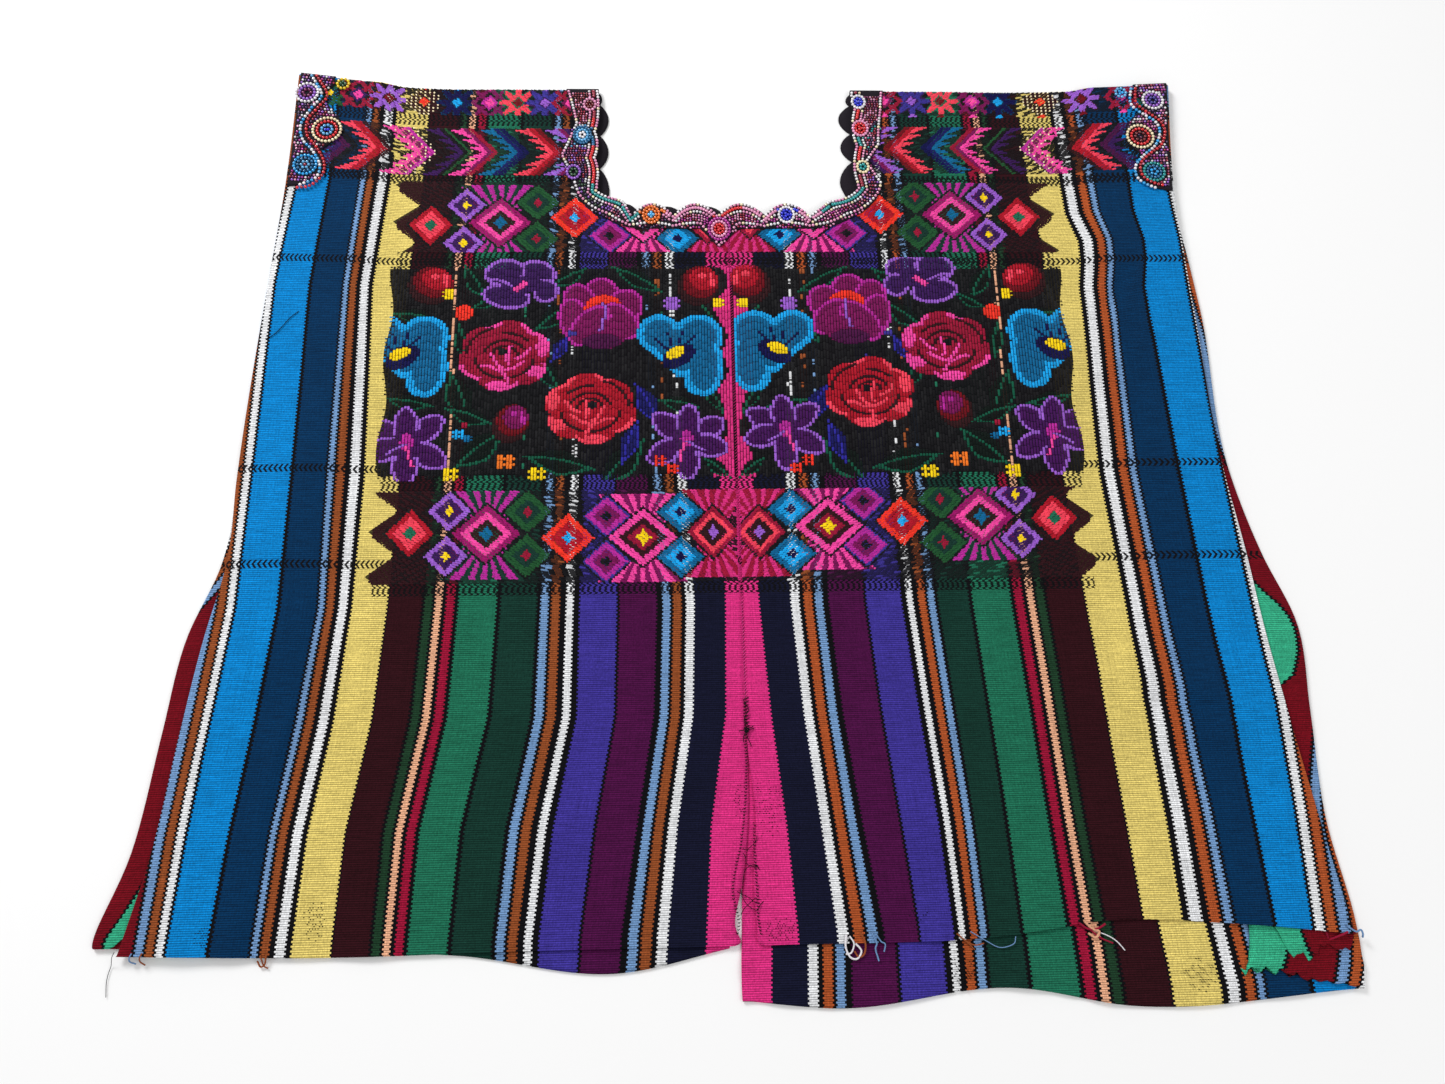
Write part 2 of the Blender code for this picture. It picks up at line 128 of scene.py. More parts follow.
# Where nine stripe edges lie across, at a few places down; their loom places count from the pink selvage.
EDGE_PLACES = (28, 87, 145, 207, 260, 317, 343, 372, 401)
STRIPE_EDGES = {
    "left_front": (
        (-15, 20, 78, 123, 180, 234, 288, 315, 340, 364), (100, 20, 78, 123, 181, 235, 289, 315, 341, 365.5),
        (200, 20, 79, 126, 187, 242, 297, 321.5, 349, 375.5),
        (370, 12, 70, 119, 183, 238, 291, 320, 347, 376.5),
        (475, 9.5, 62, 121, 184, 240.5, 292.5, 318, 347, 377),
        (560, 11.3, 64.5, 121.5, 187, 245, 299, 326.5, 355.5, 385.5),
        (640, 23.5, 77, 137, 203, 259, 310.5, 337.5, 365.5, 393.5),
        (715, 28, 88, 145, 208, 261.5, 314.5, 343, 372, 398),
    ),
    "right_front": (
        (-15, 20, 78, 125, 182, 236, 291, 320.5, 351, 377),
        (100, 20, 78, 125, 182, 237, 292.5, 322.5, 354, 385),
        (130, 20, 78.3, 125.3, 182.3, 237.3, 293.9, 323.6, 353.9, 386.2),
        (158, 20, 78.6, 125.6, 182.6, 239.6, 302, 331, 359, 388),
        (178, 20, 78.8, 125.8, 182.8, 239, 301.2, 330.4, 358.2, 388.3),
        (203, 20, 79, 126, 183, 238, 297, 326, 353.5, 389),
        (370, 14, 72, 122, 180.5, 235, 293.5, 324.5, 359.5, 392),
        (475, 16, 69.5, 126, 181, 240, 300.5, 331.5, 364.5, 397.5),
        (560, 22.3, 76, 133.5, 187, 245.5, 304, 337, 370.5, 403),
        (640, 30.5, 86, 141, 192, 250.5, 309, 344.5, 374, 403.5),
        (715, 36, 97, 146, 196, 256.5, 311, 349, 377.5, 402.5),
    ),
    "left_back": (
        (-15, 28, 86, 143, 204, 256, 312, 338, 367, 396), (475, 20, 74, 130, 192, 248, 301, 327, 355, 384),
        (560, 16, 70, 126, 191, 249, 303, 330, 359, 388), (640, 24, 80, 139, 205, 261, 313, 340, 369, 399),
        (690, 27, 85, 143, 207, 262, 315, 344, 375, 409), (745, 30, 90, 146, 209, 263, 316, 345, 374, 401),
    ),
    "right_back": (
        (-15, 28, 86, 143, 204, 256, 310, 336, 362, 390), (130, 27, 84, 141, 201, 253, 307, 333, 359, 387),
        (230, 26, 82, 139, 198, 250, 304, 330, 356, 384), (300, 25, 80, 136, 194, 246, 299, 325, 350, 377),
        (370, 22, 77, 131, 189, 242, 295, 321, 346, 372), (440, 21, 77, 131, 190, 244, 298, 325, 351, 377),
        (468, 21, 77, 132, 191, 245, 298, 326, 352, 378.8),
        (485, 22, 78, 133, 193, 247, 300, 326, 350, 372.8),
        (500, 22, 78, 134, 194, 249, 302, 326, 350, 372.8),
        (520, 22, 78, 134, 195, 250, 304, 328, 351, 374.8),
        (539, 22, 78, 135, 195, 251, 307, 331, 355, 379.8), (547, 22, 78, 135, 195, 252, 309, 338, 366, 392),
        (560, 22, 78, 136, 196, 253, 310, 340, 370, 400), (640, 21, 76, 137, 197, 257, 320, 352, 385, 412),
        (755, 16, 72, 138.5, 198.5, 264, 332, 365, 399, 428.5),
    ),
}

# How far the stripes beyond the last edge are stretched: loom millimetres for each one across.
OUTER_STRETCH = {-1: 1, 1: 0.8}

# The loom's stripes: colour and the loom place where each ends.
STRIPES = (
    ("pink", 28), ("navy_black", 55), ("white", 62), ("black", 66), ("brown", 73), ("black", 75.6),
    ("light_blue", 82), ("black", 87), ("purple", 115), ("black", 117), ("violet", 145), ("black", 150),
    ("white", 155), ("black", 160), ("brown", 166), ("black", 168.5), ("light_blue", 174), ("black", 177),
    ("dark_green", 204), ("black", 207), ("green", 234), ("black", 237), ("crimson", 242.6), ("black", 246),
    ("peach", 250.5), ("black", 252.5), ("olive", 258), ("black", 260), ("maroon", 287), ("black", 288.5),
    ("yellow", 317), ("black", 321), ("white", 327), ("black", 331), ("brown", 336), ("black", 338),
    ("light_blue", 341.5), ("black", 343.5), ("navy", 369), ("black", 372), ("blue", 401), ("black", 403.2),
    ("white", 408.2), ("black", 410), ("brown", 415.2), ("black", 417), ("light_blue", 422.5),
    ("black", 424.5), ("dark_red", 452), ("black", 454), ("mint", 520),
)

COLOURS = {
    "black": (13, 12, 16), "pink": (214, 47, 124), "navy_black": (18, 20, 42), "white": (223, 224, 226),
    "brown": (150, 78, 40), "light_blue": (111, 147, 191), "purple": (73, 14, 64), "violet": (60, 50, 142),
    "dark_green": (18, 53, 44), "green": (30, 106, 80), "crimson": (150, 18, 52), "peach": (224, 166, 132),
    "olive": (28, 58, 38), "maroon": (46, 13, 20), "yellow": (220, 198, 110), "navy": (3, 47, 84),
    "blue": (6, 126, 198), "dark_red": (110, 10, 24), "mint": (54, 170, 130), "coral": (240, 66, 88),
    "red_orange": (238, 52, 36), "red": (170, 18, 38), "hot_pink": (240, 70, 160), "magenta": (180, 40, 150),
    "plum": (120, 18, 84), "magenta_dark": (150, 16, 98), "indigo": (44, 40, 150), "leaf_dark": (8, 20, 16),
    "purple_dark": (66, 16, 84), "indigo_dark": (22, 22, 90), "dark_violet": (56, 22, 84),
    "lilac": (152, 92, 200), "cyan": (22, 160, 228), "teal_blue": (10, 98, 146), "midnight": (12, 12, 70),
    "bright_yellow": (246, 208, 16), "orange": (238, 118, 36), "dark_brown": (48, 18, 22),
    "leaf": (30, 80, 44), "leaf_line": (16, 84, 62), "cream": (250, 232, 190), "turquoise": (20, 150, 150),
    "royal_blue": (40, 50, 210), "bead_white": (236, 232, 236), "bead_pink": (230, 150, 190),
    "bead_red": (214, 20, 30), "bead_blue": (96, 176, 226),
}
# The brown is deeper on the left half and redder on the right half.
BROWN_TINTS = {-1: 0.9, 1: (1.3, 1.05, 1)}
INKS = tuple(COLOURS)
NO_INK = -1
GROUND_INK = len(INKS)
GROUND_SHADE = 0.2


def linear(colour):
    """A named colour in linear light."""
    values = np.array(COLOURS[colour]) / 255
    return np.where(values <= 0.04045, values / 12.92, ((values + 0.055) / 1.055) ** 2.4)


def column(table, place, number=1):
    """Reads a column of a table at places along its first column, rounding its corners."""
    rows = np.array(table, float)
    xs, ys = rows[:, 0], rows[:, number]
    place = np.clip(place, xs[0], xs[-1])
    slopes = np.gradient(ys, xs)
    spot = np.clip(np.searchsorted(xs, place, side="right") - 1, 0, len(xs) - 2)
    width = xs[spot + 1] - xs[spot]
    share = (place - xs[spot]) / width
    start = ys[spot] * (1 + 2 * share) * (1 - share) ** 2 + ys[spot + 1] * share**2 * (3 - 2 * share)
    bend = slopes[spot] * share * (1 - share) ** 2 - slopes[spot + 1] * share**2 * (1 - share)
    return start + width * bend


def straight(table, place, number=1):
    """Reads a column of a table at places along its first column, in straight lines."""
    rows = np.array(table, float)
    return np.interp(place, rows[:, 0], rows[:, number])


def half_name(side):
    return "left" if side < 0 else "right"


def edge_name(side, layer):
    return f"{half_name(side)}_{layer}"


def edge_column(side, layer):
    return EDGE_COLUMNS.index(edge_name(side, layer))


def side_edge(side, layer, down):
    return column(SIDE_EDGES, down, edge_column(side, layer))


def centre_edge(side, layer, down):
    return side * column(CENTRE, down, edge_column(side, layer)) + GAP / 2


def hem_down(side, layer, across):
    return column(HEMS[edge_name(side, layer)], across)


def shoulder_rise(side, across, down):
    share = np.maximum(0, (np.abs(across) - RISE_START) / (RISE_END - RISE_START))
    return SHOULDER_RISE[side] * share**2 * np.maximum(0, 1 - down / RISE_DEPTH)


def ease(value, start, end):
    """Runs smoothly from 0 at start to 1 at end."""
    share = np.clip((value - start) / (end - start), 0, 1)
    return share * share * (3 - 2 * share)


def neck_point(along, offset):
    """(across, down) beside the neck hole's U, moved out from the hole by offset. Arrays of one length."""
    along, offset = np.broadcast_arrays(np.asarray(along, float), np.asarray(offset, float))
    reach = np.abs(along)
    angle = np.clip((reach - NECK_FLAT) / NECK_CORNER, 0, math.pi / 2)
    radius = NECK_CORNER + offset
    across = np.minimum(reach, NECK_FLAT) + radius * np.sin(angle)
    down = NECK_DEPTH - NECK_CORNER + radius * np.cos(angle)
    down = down - np.maximum(0, reach - NECK_FLAT - NECK_ARC)
    return np.where(along < 0, -across, across), down


def neck_distance(across, down):
    past_side = np.abs(across) - NECK_FLAT
    past_bottom = down - (NECK_DEPTH - NECK_CORNER)
    return np.hypot(np.maximum(past_side, 0), np.maximum(past_bottom, 0)) - NECK_CORNER


def neck_lift(across, down):
    return TRIM_LIFT * (1 - ease(neck_distance(across, down), NECK_LIFT_FULL, NECK_LIFT_NONE))


def armhole_lift(down):
    return TRIM_LIFT * (1 - ease(down, ARMHOLE_LIFT_FULL, ARMHOLE_LIFT_NONE))


def folds(rows, side, across, down):
    """Height that swells or creases add at places on the front."""
    height = np.zeros(np.broadcast(across, down).shape)
    for row_side, row_across, row_down, degrees, length, width, tall in rows:
        if row_side == side:
            turn = math.radians(degrees)
            x, y = side * (across - row_across), row_down - down
            ahead = 2 * (x * math.cos(turn) + y * math.sin(turn)) / length
            beside = 2 * (y * math.cos(turn) - x * math.sin(turn)) / width
            height += tall * (np.maximum(0, 1 - ahead**2) * np.maximum(0, 1 - beside**2)) ** 2
    return height


def ripple(side, across, down):
    """A faint unevenness of the cloth, and small waves along the hem."""
    calm = ease(down, 150, 400)
    wave = np.sin(across / 31 + side + 0.9 * np.sin(down / 57)) * np.sin(down / 43 + across / 77)
    hem = ease(down, 655, 722) * (np.sin(across / 11.5 + 2 * side) + 0.6 * np.sin(across / 6.7))
    return 0.28 * calm * wave + 0.38 * hem


def on_cloth(across, down):
    """Moves a place that was measured on the surface's plane to where the raised cloth shows it."""
    return across * (1 - SEEN_SHARE), down + SEEN_SHARE * (SEEN_FROM - down)


def front_shape(side, across, down):
    return folds(SWELLS, side, across, down) + folds(CREASES, side, across, down) + ripple(side, across, down)


def back_ruffle(side, across, down):
    """Ruffles of the back where it lies bunched below the front's hem, on the picture's right."""
    if side < 0:
        return np.zeros(np.shape(across))
    wave = 0.5 + 0.5 * np.sin(down / 2.3 + 1.6 * np.sin(across / 19) + 0.8 * np.sin(across / 7.3))
    patchy = 0.35 + 0.65 * (0.5 + 0.5 * np.sin(across / 31 + 1)) ** 2
    slanting = 0.5 + 0.5 * np.sin((across * 0.5 + down) / 6.1 + 0.4)
    return ease(down, 724, 734) * (1.1 * wave * patchy + 0.9 * slanting**2)


def front_top(side, across, down):
    """Height of the front layer's upper face."""
    flap = side_edge(side, "front", down) - TURNED_IN
    share = ease(across, flap - SLOPE_START, flap - SLOPE_END)
    main = 2 * PITCH - GAP + neck_lift(across, down)
    strip = 4 * PITCH - GAP + armhole_lift(down)
    return main + (strip - main) * share + front_shape(side, across, down)


def in_frame(side, across, down, z):
    """Points in the row frame, in mm, over places on the cloth."""
    y = SHOULDER_Y - down + shoulder_rise(side, across, down)
    return np.stack(np.broadcast_arrays(SEAM_X + side * across, y, z), axis=-1)


def bent_row(side, across, down, turn, middle, radius):
    """Points of a row, in mm, that a fold of a radius carries round by a turn."""
    points = in_frame(side, across, down, middle - radius * math.cos(turn))
    points[:, 1] += radius * math.sin(turn)
    return points


def on_front(side, across, down, lift):
    """Points in the row frame, in mm, on the front's upper face, raised by lift."""
    return in_frame(side, across, down, front_top(side, across, down) + lift)


def loom_place(side, across, down, layer="front"):
    """The place across the loom, from the pink selvage, that lies at (across, down)."""
    table = STRIPE_EDGES[edge_name(side, layer)]
    edges = [straight(table, down, number) for number in range(1, len(EDGE_PLACES) + 1)]
    loom = EDGE_PLACES[0] + across - edges[0]
    for start, end, place, after in zip(edges, edges[1:], EDGE_PLACES, EDGE_PLACES[1:]):
        share = (across - start) / (end - start)
        loom = np.where(across > start, place + share * (after - place), loom)
    return np.where(across > edges[-1], EDGE_PLACES[-1] + (across - edges[-1]) * OUTER_STRETCH[side], loom)


# The cloth's bands, from the shoulder down: where each kind of weaving starts and ends.
STAR_BAND = (-20, 30)
SHOULDER_SPAN = (90, 400)
CHEVRON_BAND = (42, 92)
UPPER_DIAMONDS = (100, 168)
FLOWER_PANEL = (174, 373)
LOWER_DIAMONDS = (383, 457)
KNIT_STRIPS = ((30, 42), (92, 102), (168, 184), (369, 383), (457, 467))
PANEL_GROUND = (184, 369)
ZIGZAG_ROWS = (97, 177, 363, 441)
BROCADE_EDGE = 282


# Meshes

def make_mesh(name, points, faces, material, smooth=True, **attributes):
    """A mesh object from points in mm, faces with one number of corners, and vectors or colours of points."""
    points = np.asarray(np.reshape(points, (-1, 3)) * MM, np.float32)
    faces = np.asarray(faces, np.int32)
    mesh = bpy.data.meshes.new(name)
    mesh.vertices.add(len(points))
    mesh.vertices.foreach_set("co", points.ravel())
    mesh.loops.add(faces.size)
    mesh.loops.foreach_set("vertex_index", faces.ravel())
    mesh.polygons.add(len(faces))
    mesh.polygons.foreach_set("loop_start", np.arange(0, faces.size, faces.shape[1], dtype=np.int32))
    for label, values in attributes.items():
        values = np.asarray(values, np.float32)
        kind, field = ("FLOAT_COLOR", "color") if values.shape[-1] == 4 else ("FLOAT_VECTOR", "vector")
        mesh.attributes.new(label, kind, "POINT").data.foreach_set(field, values.ravel())
    mesh.update(calc_edges=True)
    if smooth:
        mesh.shade_smooth()
    mesh.materials.append(material)
    obj = bpy.data.objects.new(name, mesh)
    bpy.context.scene.collection.objects.link(obj)
    return obj


def grid_faces(rows, columns, closed_rows):
    """Quads of a grid of points counted row by row."""
    first = np.arange(rows if closed_rows else rows - 1)[:, None] * columns
    after = (first + columns) % (rows * columns)
    place = np.arange(columns - 1)[None, :]
    quads = np.stack([first + place, first + place + 1, after + place + 1, after + place], axis=-1)
    return quads.reshape(-1, 4)


def wall(over, under, closed_rows=False):
    """Points and quads of a closed wall between two grids of one size."""
    rows, columns = over.shape[:2]
    count = rows * columns
    points = np.concatenate([over.reshape(-1, 3), under.reshape(-1, 3)])
    quads = grid_faces(rows, columns, closed_rows)
    faces = [quads, quads[:, ::-1] + count]
    line = np.arange(rows) * columns
    nexts = np.roll(line, -1)
    if not closed_rows:
        line, nexts = line[:-1], nexts[:-1]
    faces.append(np.stack([line, nexts, nexts + count, line + count], axis=-1))
    last = columns - 1
    faces.append(np.stack([nexts, line, line + count, nexts + count], axis=-1) + last)
    if not closed_rows:
        place = np.arange(columns - 1)
        faces.append(np.stack([place + 1, place, place + count, place + 1 + count], axis=-1))
        place = place + (rows - 1) * columns
        faces.append(np.stack([place, place + 1, place + 1 + count, place + count], axis=-1))
    return points, np.concatenate(faces)


# Materials

def operator(operation):
    return lambda value, other: value.nodes.math(operation, value, other)


class Value:
    """A number inside a material. Python's operators on it make math nodes, with | for the greater of two."""

    def __init__(self, nodes, socket):
        self.nodes, self.socket = nodes, socket

    __add__, __sub__, __mul__ = operator("ADD"), operator("SUBTRACT"), operator("MULTIPLY")
    __truediv__, __mod__, __pow__ = operator("DIVIDE"), operator("MODULO"), operator("POWER")
    __lt__, __gt__, __or__ = operator("LESS_THAN"), operator("GREATER_THAN"), operator("MAXIMUM")


class Nodes:
    """A short way to write a material's nodes."""

    def __init__(self, name):
        self.material = bpy.data.materials.new(name)
        self.material.use_nodes = True
        self.tree = self.material.node_tree

    def link(self, node, values):
        """Gives a node's inputs their values."""
        for name, value in values.items():
            if isinstance(value, Value):
                self.tree.links.new(value.socket, node.inputs[name])
            else:
                node.inputs[name].default_value = value

    def add(self, kind, values, output=0, **settings):
        """An output of a new node."""
        node = self.tree.nodes.new(f"ShaderNode{kind}")
        for name, value in settings.items():
            setattr(node, name, value)
        self.link(node, values)
        return Value(self, node.outputs[output])

    def math(self, operation, *values):
        return self.add("Math", dict(enumerate(values)), operation=operation)

    def attribute(self, name, output):
        return self.add("Attribute", {}, output, attribute_name=name)

    def split(self, vector):
        node = self.add("SeparateXYZ", {0: vector}).socket.node
        return [Value(self, socket) for socket in node.outputs]

    def join(self, x, y, z):
        return self.add("CombineXYZ", {0: x, 1: y, 2: z})

    def mix(self, share, first, second, blend="MIX"):
        return self.add("Mix", {0: share, 6: first, 7: second}, 2, data_type="RGBA", blend_type=blend)

    def shade(self, colour, light):
        """A colour made lighter or darker."""
        return self.mix(1, colour, self.join(light, light, light), "MULTIPLY")

    def noise(self, vector, scale, detail=2):
        return self.add("TexNoise", {"Vector": vector, "Scale": scale, "Detail": detail}, "Fac")

    def ramp(self, place, stops):
        """A colour ramp with hard steps, from (position, colour) pairs."""
        value = self.add("ValToRGB", {0: place})
        ramp = value.socket.node.color_ramp
        ramp.interpolation = "CONSTANT"
        for position, colour in stops[2:]:
            ramp.elements.new(position)
        for element, (position, colour) in zip(ramp.elements, stops):
            element.position = position
        for element, (position, colour) in zip(ramp.elements, stops):
            element.color = (*colour, 1)
        return value

    def window(self, value, low, high):
        """1 where value is between low and high, else 0."""
        return self.math("COMPARE", value, (low + high) / 2, (high - low) / 2)

    def bump(self, height, distance, strength):
        return self.add("Bump", {"Height": height, "Distance": distance, "Strength": strength})

    def finish(self, colour, roughness, values):
        """The material, once the shader has its values."""
        values = {"Base Color": colour, "Roughness": roughness, **values}
        self.link(self.tree.nodes["Principled BSDF"], values)
        return self.material


RIB_PITCH = 1.55
THREAD_PITCH = 0.95
SERRATION = 0.55
RAMP_SPAN = 60
MINT_FROM = 480
YELLOW_FROM = 287
LOOM_SHIFT = 900  # keeps what MODULO counts in above nought
KNIT_PITCH = 4.4
KNIT_WIDTH = 2.1
ZIGZAG_PITCH = 4
ZIGZAG_WIDTH = 1.9
ZIGZAG_REACH = 3.3


def stripe_stops(start, brown):
    """Stops of one ramp: the stripes between start and start plus the ramp's span."""
    stops = []
    before = 0
    for name, end in STRIPES:
        if end > start and before < start + RAMP_SPAN:
            stops.append((max(0, (before - start) / RAMP_SPAN), brown if name == "brown" else linear(name)))
        before = end
    return stops if len(stops) > 1 else [*stops, (1, stops[0][1])]


def woven_material(name, side, brown):
    """Warp stripes over ribs, with serrated edges, woven bands, painted shade in the grooves between ribs and
    between threads, and a slight unevenness of dye.
    """
    n = Nodes(name)
    loom, down, across = n.split(n.attribute("loom", "Vector"))
    wave = n.math("SINE", down * (math.pi / RIB_PITCH))
    rib_wave = n.math("ABSOLUTE", wave)
    step = n.math("MINIMUM", wave * 4 | -1, 1)
    toothed = loom + step * SERRATION
    stripes = (*linear("mint"), 1)
    for start in range(MINT_FROM - RAMP_SPAN, -1, -RAMP_SPAN):
        ramp = n.ramp((toothed - start) / RAMP_SPAN, stripe_stops(start, brown))
        stripes = n.mix(toothed > start + RAMP_SPAN, ramp, stripes)
    thread_wave = n.math("SINE", toothed * (2 * math.pi / THREAD_PITCH) + step * (math.pi / 2))
    warp = n.noise(n.join(loom * 1.1, down * 0.02, 0), 1)
    pick = n.noise(n.join(loom * 0.06, down * 0.5, 3), 1)
    cloud = n.noise(n.join(loom, down, 7), 0.02, 3)
    grain = n.noise(n.join(loom * 0.8, down * 0.5, 9), 1, 1)
    # Painted shade: the grooves between the ribs and between the warp threads are darkened. The noises after
    # it are an unevenness of dye.
    light = rib_wave**0.6 * 0.85 + 0.33
    for value, strength, least in (
        (thread_wave, 0.16, 1), (warp, 0.5, 0.75), (pick, 0.8, 0.6), (grain, 0.9, 0.55), (cloud, 0.3, 0.85),
    ):
        light = light * (value * strength + least)

    # Knitted strips: columns of slanting black stitches over the stripes.
    knit = n.window(down, *KNIT_STRIPS[0])
    for strip in KNIT_STRIPS[1:]:
        knit = knit + n.window(down, *strip)
    knit = knit * ((across + pick * 2 < BROCADE_EDGE - 2) | (down < KNIT_STRIPS[1][1]))
    slant = n.math("PINGPONG", down, 2.6) * 0.8
    dark = knit * ((toothed + slant + LOOM_SHIFT) % KNIT_PITCH < KNIT_WIDTH) * 0.95
    # The cloth under the flower panel is black. It stands for the panel's black ground and is also painted
    # shade in the gaps between the cords.
    panel_edge = n.math("SINE", down / 13) * 2.5 + (PANEL_EDGE + 0.6)
    dark = dark | n.window(down, *PANEL_GROUND) * (across < panel_edge) * 0.97
    # Dark spikes of the diamond bands over the yellow.
    for band, middles in ((LOWER_DIAMONDS, LOWER_MIDDLE), (UPPER_DIAMONDS, UPPER_MIDDLE)):
        tip = n.math("PINGPONG", down - middle_down(side, middles, OUTER_DIAMOND), BAND_PERIOD / 2)
        spikes = (across < tip * (-2 * BAND_SPIKE / BAND_PERIOD) + (BAND_EDGE - 0.8)) * n.window(down, *band)
        dark = dark | spikes * (loom > YELLOW_FROM) * 0.93
    for row in ZIGZAG_ROWS:
        off = n.math("ABSOLUTE", down - row)
        mark = (loom + off * 0.7 + LOOM_SHIFT) % ZIGZAG_PITCH < ZIGZAG_WIDTH
        dark = dark | mark * (off < ZIGZAG_REACH) * 0.97
    colour = n.mix(dark, stripes, (*linear("black"), 1))
    height = rib_wave**0.7 + thread_wave * 0.16
    sheen = {"Specular IOR Level": 0.06, "Sheen Weight": 0.02, "Sheen Roughness": 0.5}
    return n.finish(n.shade(colour, light), 0.85, {"Normal": n.bump(height, 0.00035, 0.8), **sheen})


def yarn_material(name):
    """Yarn whose colour comes from the mesh, with a fine twist whose grooves are darkened as painted shade.
    """
    n = Nodes(name)
    spot = n.attribute("twist", "Vector")
    x, y = n.split(spot)[:2]
    strand = n.math("SINE", x * 7 + y * 3.2)
    fuzz = n.noise(spot, 1.4)
    # Painted shade along the twist's grooves, and an uneven tone from the fuzz.
    colour = n.shade(n.attribute("thread", "Color"), strand * 0.1 + (fuzz * 0.4 + 0.78))
    normal = n.bump(strand + fuzz, 0.00012, 0.6)
    return n.finish(colour, 0.75, {"Normal": normal, "Sheen Weight": 0.03, "Specular IOR Level": 0.1})


def felt_material(name):
    """Black felt with fuzz."""
    n = Nodes(name)
    fuzz = n.noise(n.add("TexCoord", {}, "Object"), 1800, 4)
    colour = n.mix(fuzz, (0.004, 0.004, 0.006, 1), (0.03, 0.024, 0.032, 1))
    normal = n.bump(fuzz, 0.0004, 0.7)
    return n.finish(colour, 0.95, {"Normal": normal, "Specular IOR Level": 0.05, "Sheen Weight": 0.02})


def bead_material(name):
    """Glass beads, coloured by the mesh, each slightly different."""
    n = Nodes(name)
    coat = {"Specular IOR Level": 0.6, "Coat Weight": 0.5, "Coat Roughness": 0.08}
    return n.finish(n.attribute("thread", "Color"), 0.18, coat)


# The two cloth panels

BACK_STEPS = 60
FRONT_STEPS = 118
NECK_STEPS = 5
NECK_CAD_ROWS = (3, 4, 3)
OUTER_ROW_STEP = 22
MAIN_COLUMNS = 72
SLOPE_COLUMNS = 8
STRIP_COLUMNS = 14
FOLD_COLUMNS_ROUND = 6
FLAP_COLUMNS = 24
SHOULDER_STEPS = 8
FOLD_TURNS = math.pi * np.arange(1, SHOULDER_STEPS) / SHOULDER_STEPS

# How much shorter than its hem each turned-in strip is: (across, shorter by); negative where it hangs out.
TURNED_ENDS = {
    "right_back": ((346, 22), (374, 18), (398, 9), (420, 4), (433, 0)),
    "left_back": ((378, 8), (428, 8), (438, 0)),
    "right_front": ((378, 0), (382, -17), (404, -19), (407, -9), (427, -12), (434, 0)),
    "left_front": ((370, 3), (434, 0)),
}
# How much further in a strip is turned at the hem.
DEEPER_TURN = {"right_back": 26}
HEM_LEVEL = 720


def layer_rows(side, layer):
    """Rows of one layer from the shoulder to the hem: inner across, inner down, outer down, hem share."""
    side_rows, arc_rows, flat_rows = (count * NECK_STEPS for count in NECK_CAD_ROWS)
    top = NECK_REACH - SHOULDER_INSET
    side_start = NECK_FLAT + NECK_ARC
    stations = np.concatenate([
        np.linspace(top, side_start, side_rows + 1),
        np.linspace(side_start, NECK_FLAT, arc_rows + 1)[1:],
        np.linspace(NECK_FLAT, 0, flat_rows + 1)[1:],
    ])
    inner_across, inner_down = neck_point(stations, CLOTH_SETBACK)
    inner_across = np.maximum(inner_across, centre_edge(side, layer, inner_down))
    outer_down = np.maximum(SHOULDER_INSET, OUTER_ROW_STEP * np.arange(len(stations)) / NECK_STEPS)
    end_inner = hem_down(side, layer, 0)
    end_outer = hem_down(side, layer, side_edge(side, layer, HEM_LEVEL))
    share = np.linspace(0, 1, (FRONT_STEPS if layer == "front" else BACK_STEPS) + 1)[1:]
    body_inner = inner_down[-1] + (end_inner - inner_down[-1]) * share
    body_outer = outer_down[-1] + (end_outer - outer_down[-1]) * share
    return np.stack([
        np.concatenate([inner_across, centre_edge(side, layer, body_inner)]),
        np.concatenate([inner_down, body_inner]),
        np.concatenate([outer_down, body_outer]),
        np.concatenate([np.zeros(len(stations)), share**8]),
    ], axis=1)


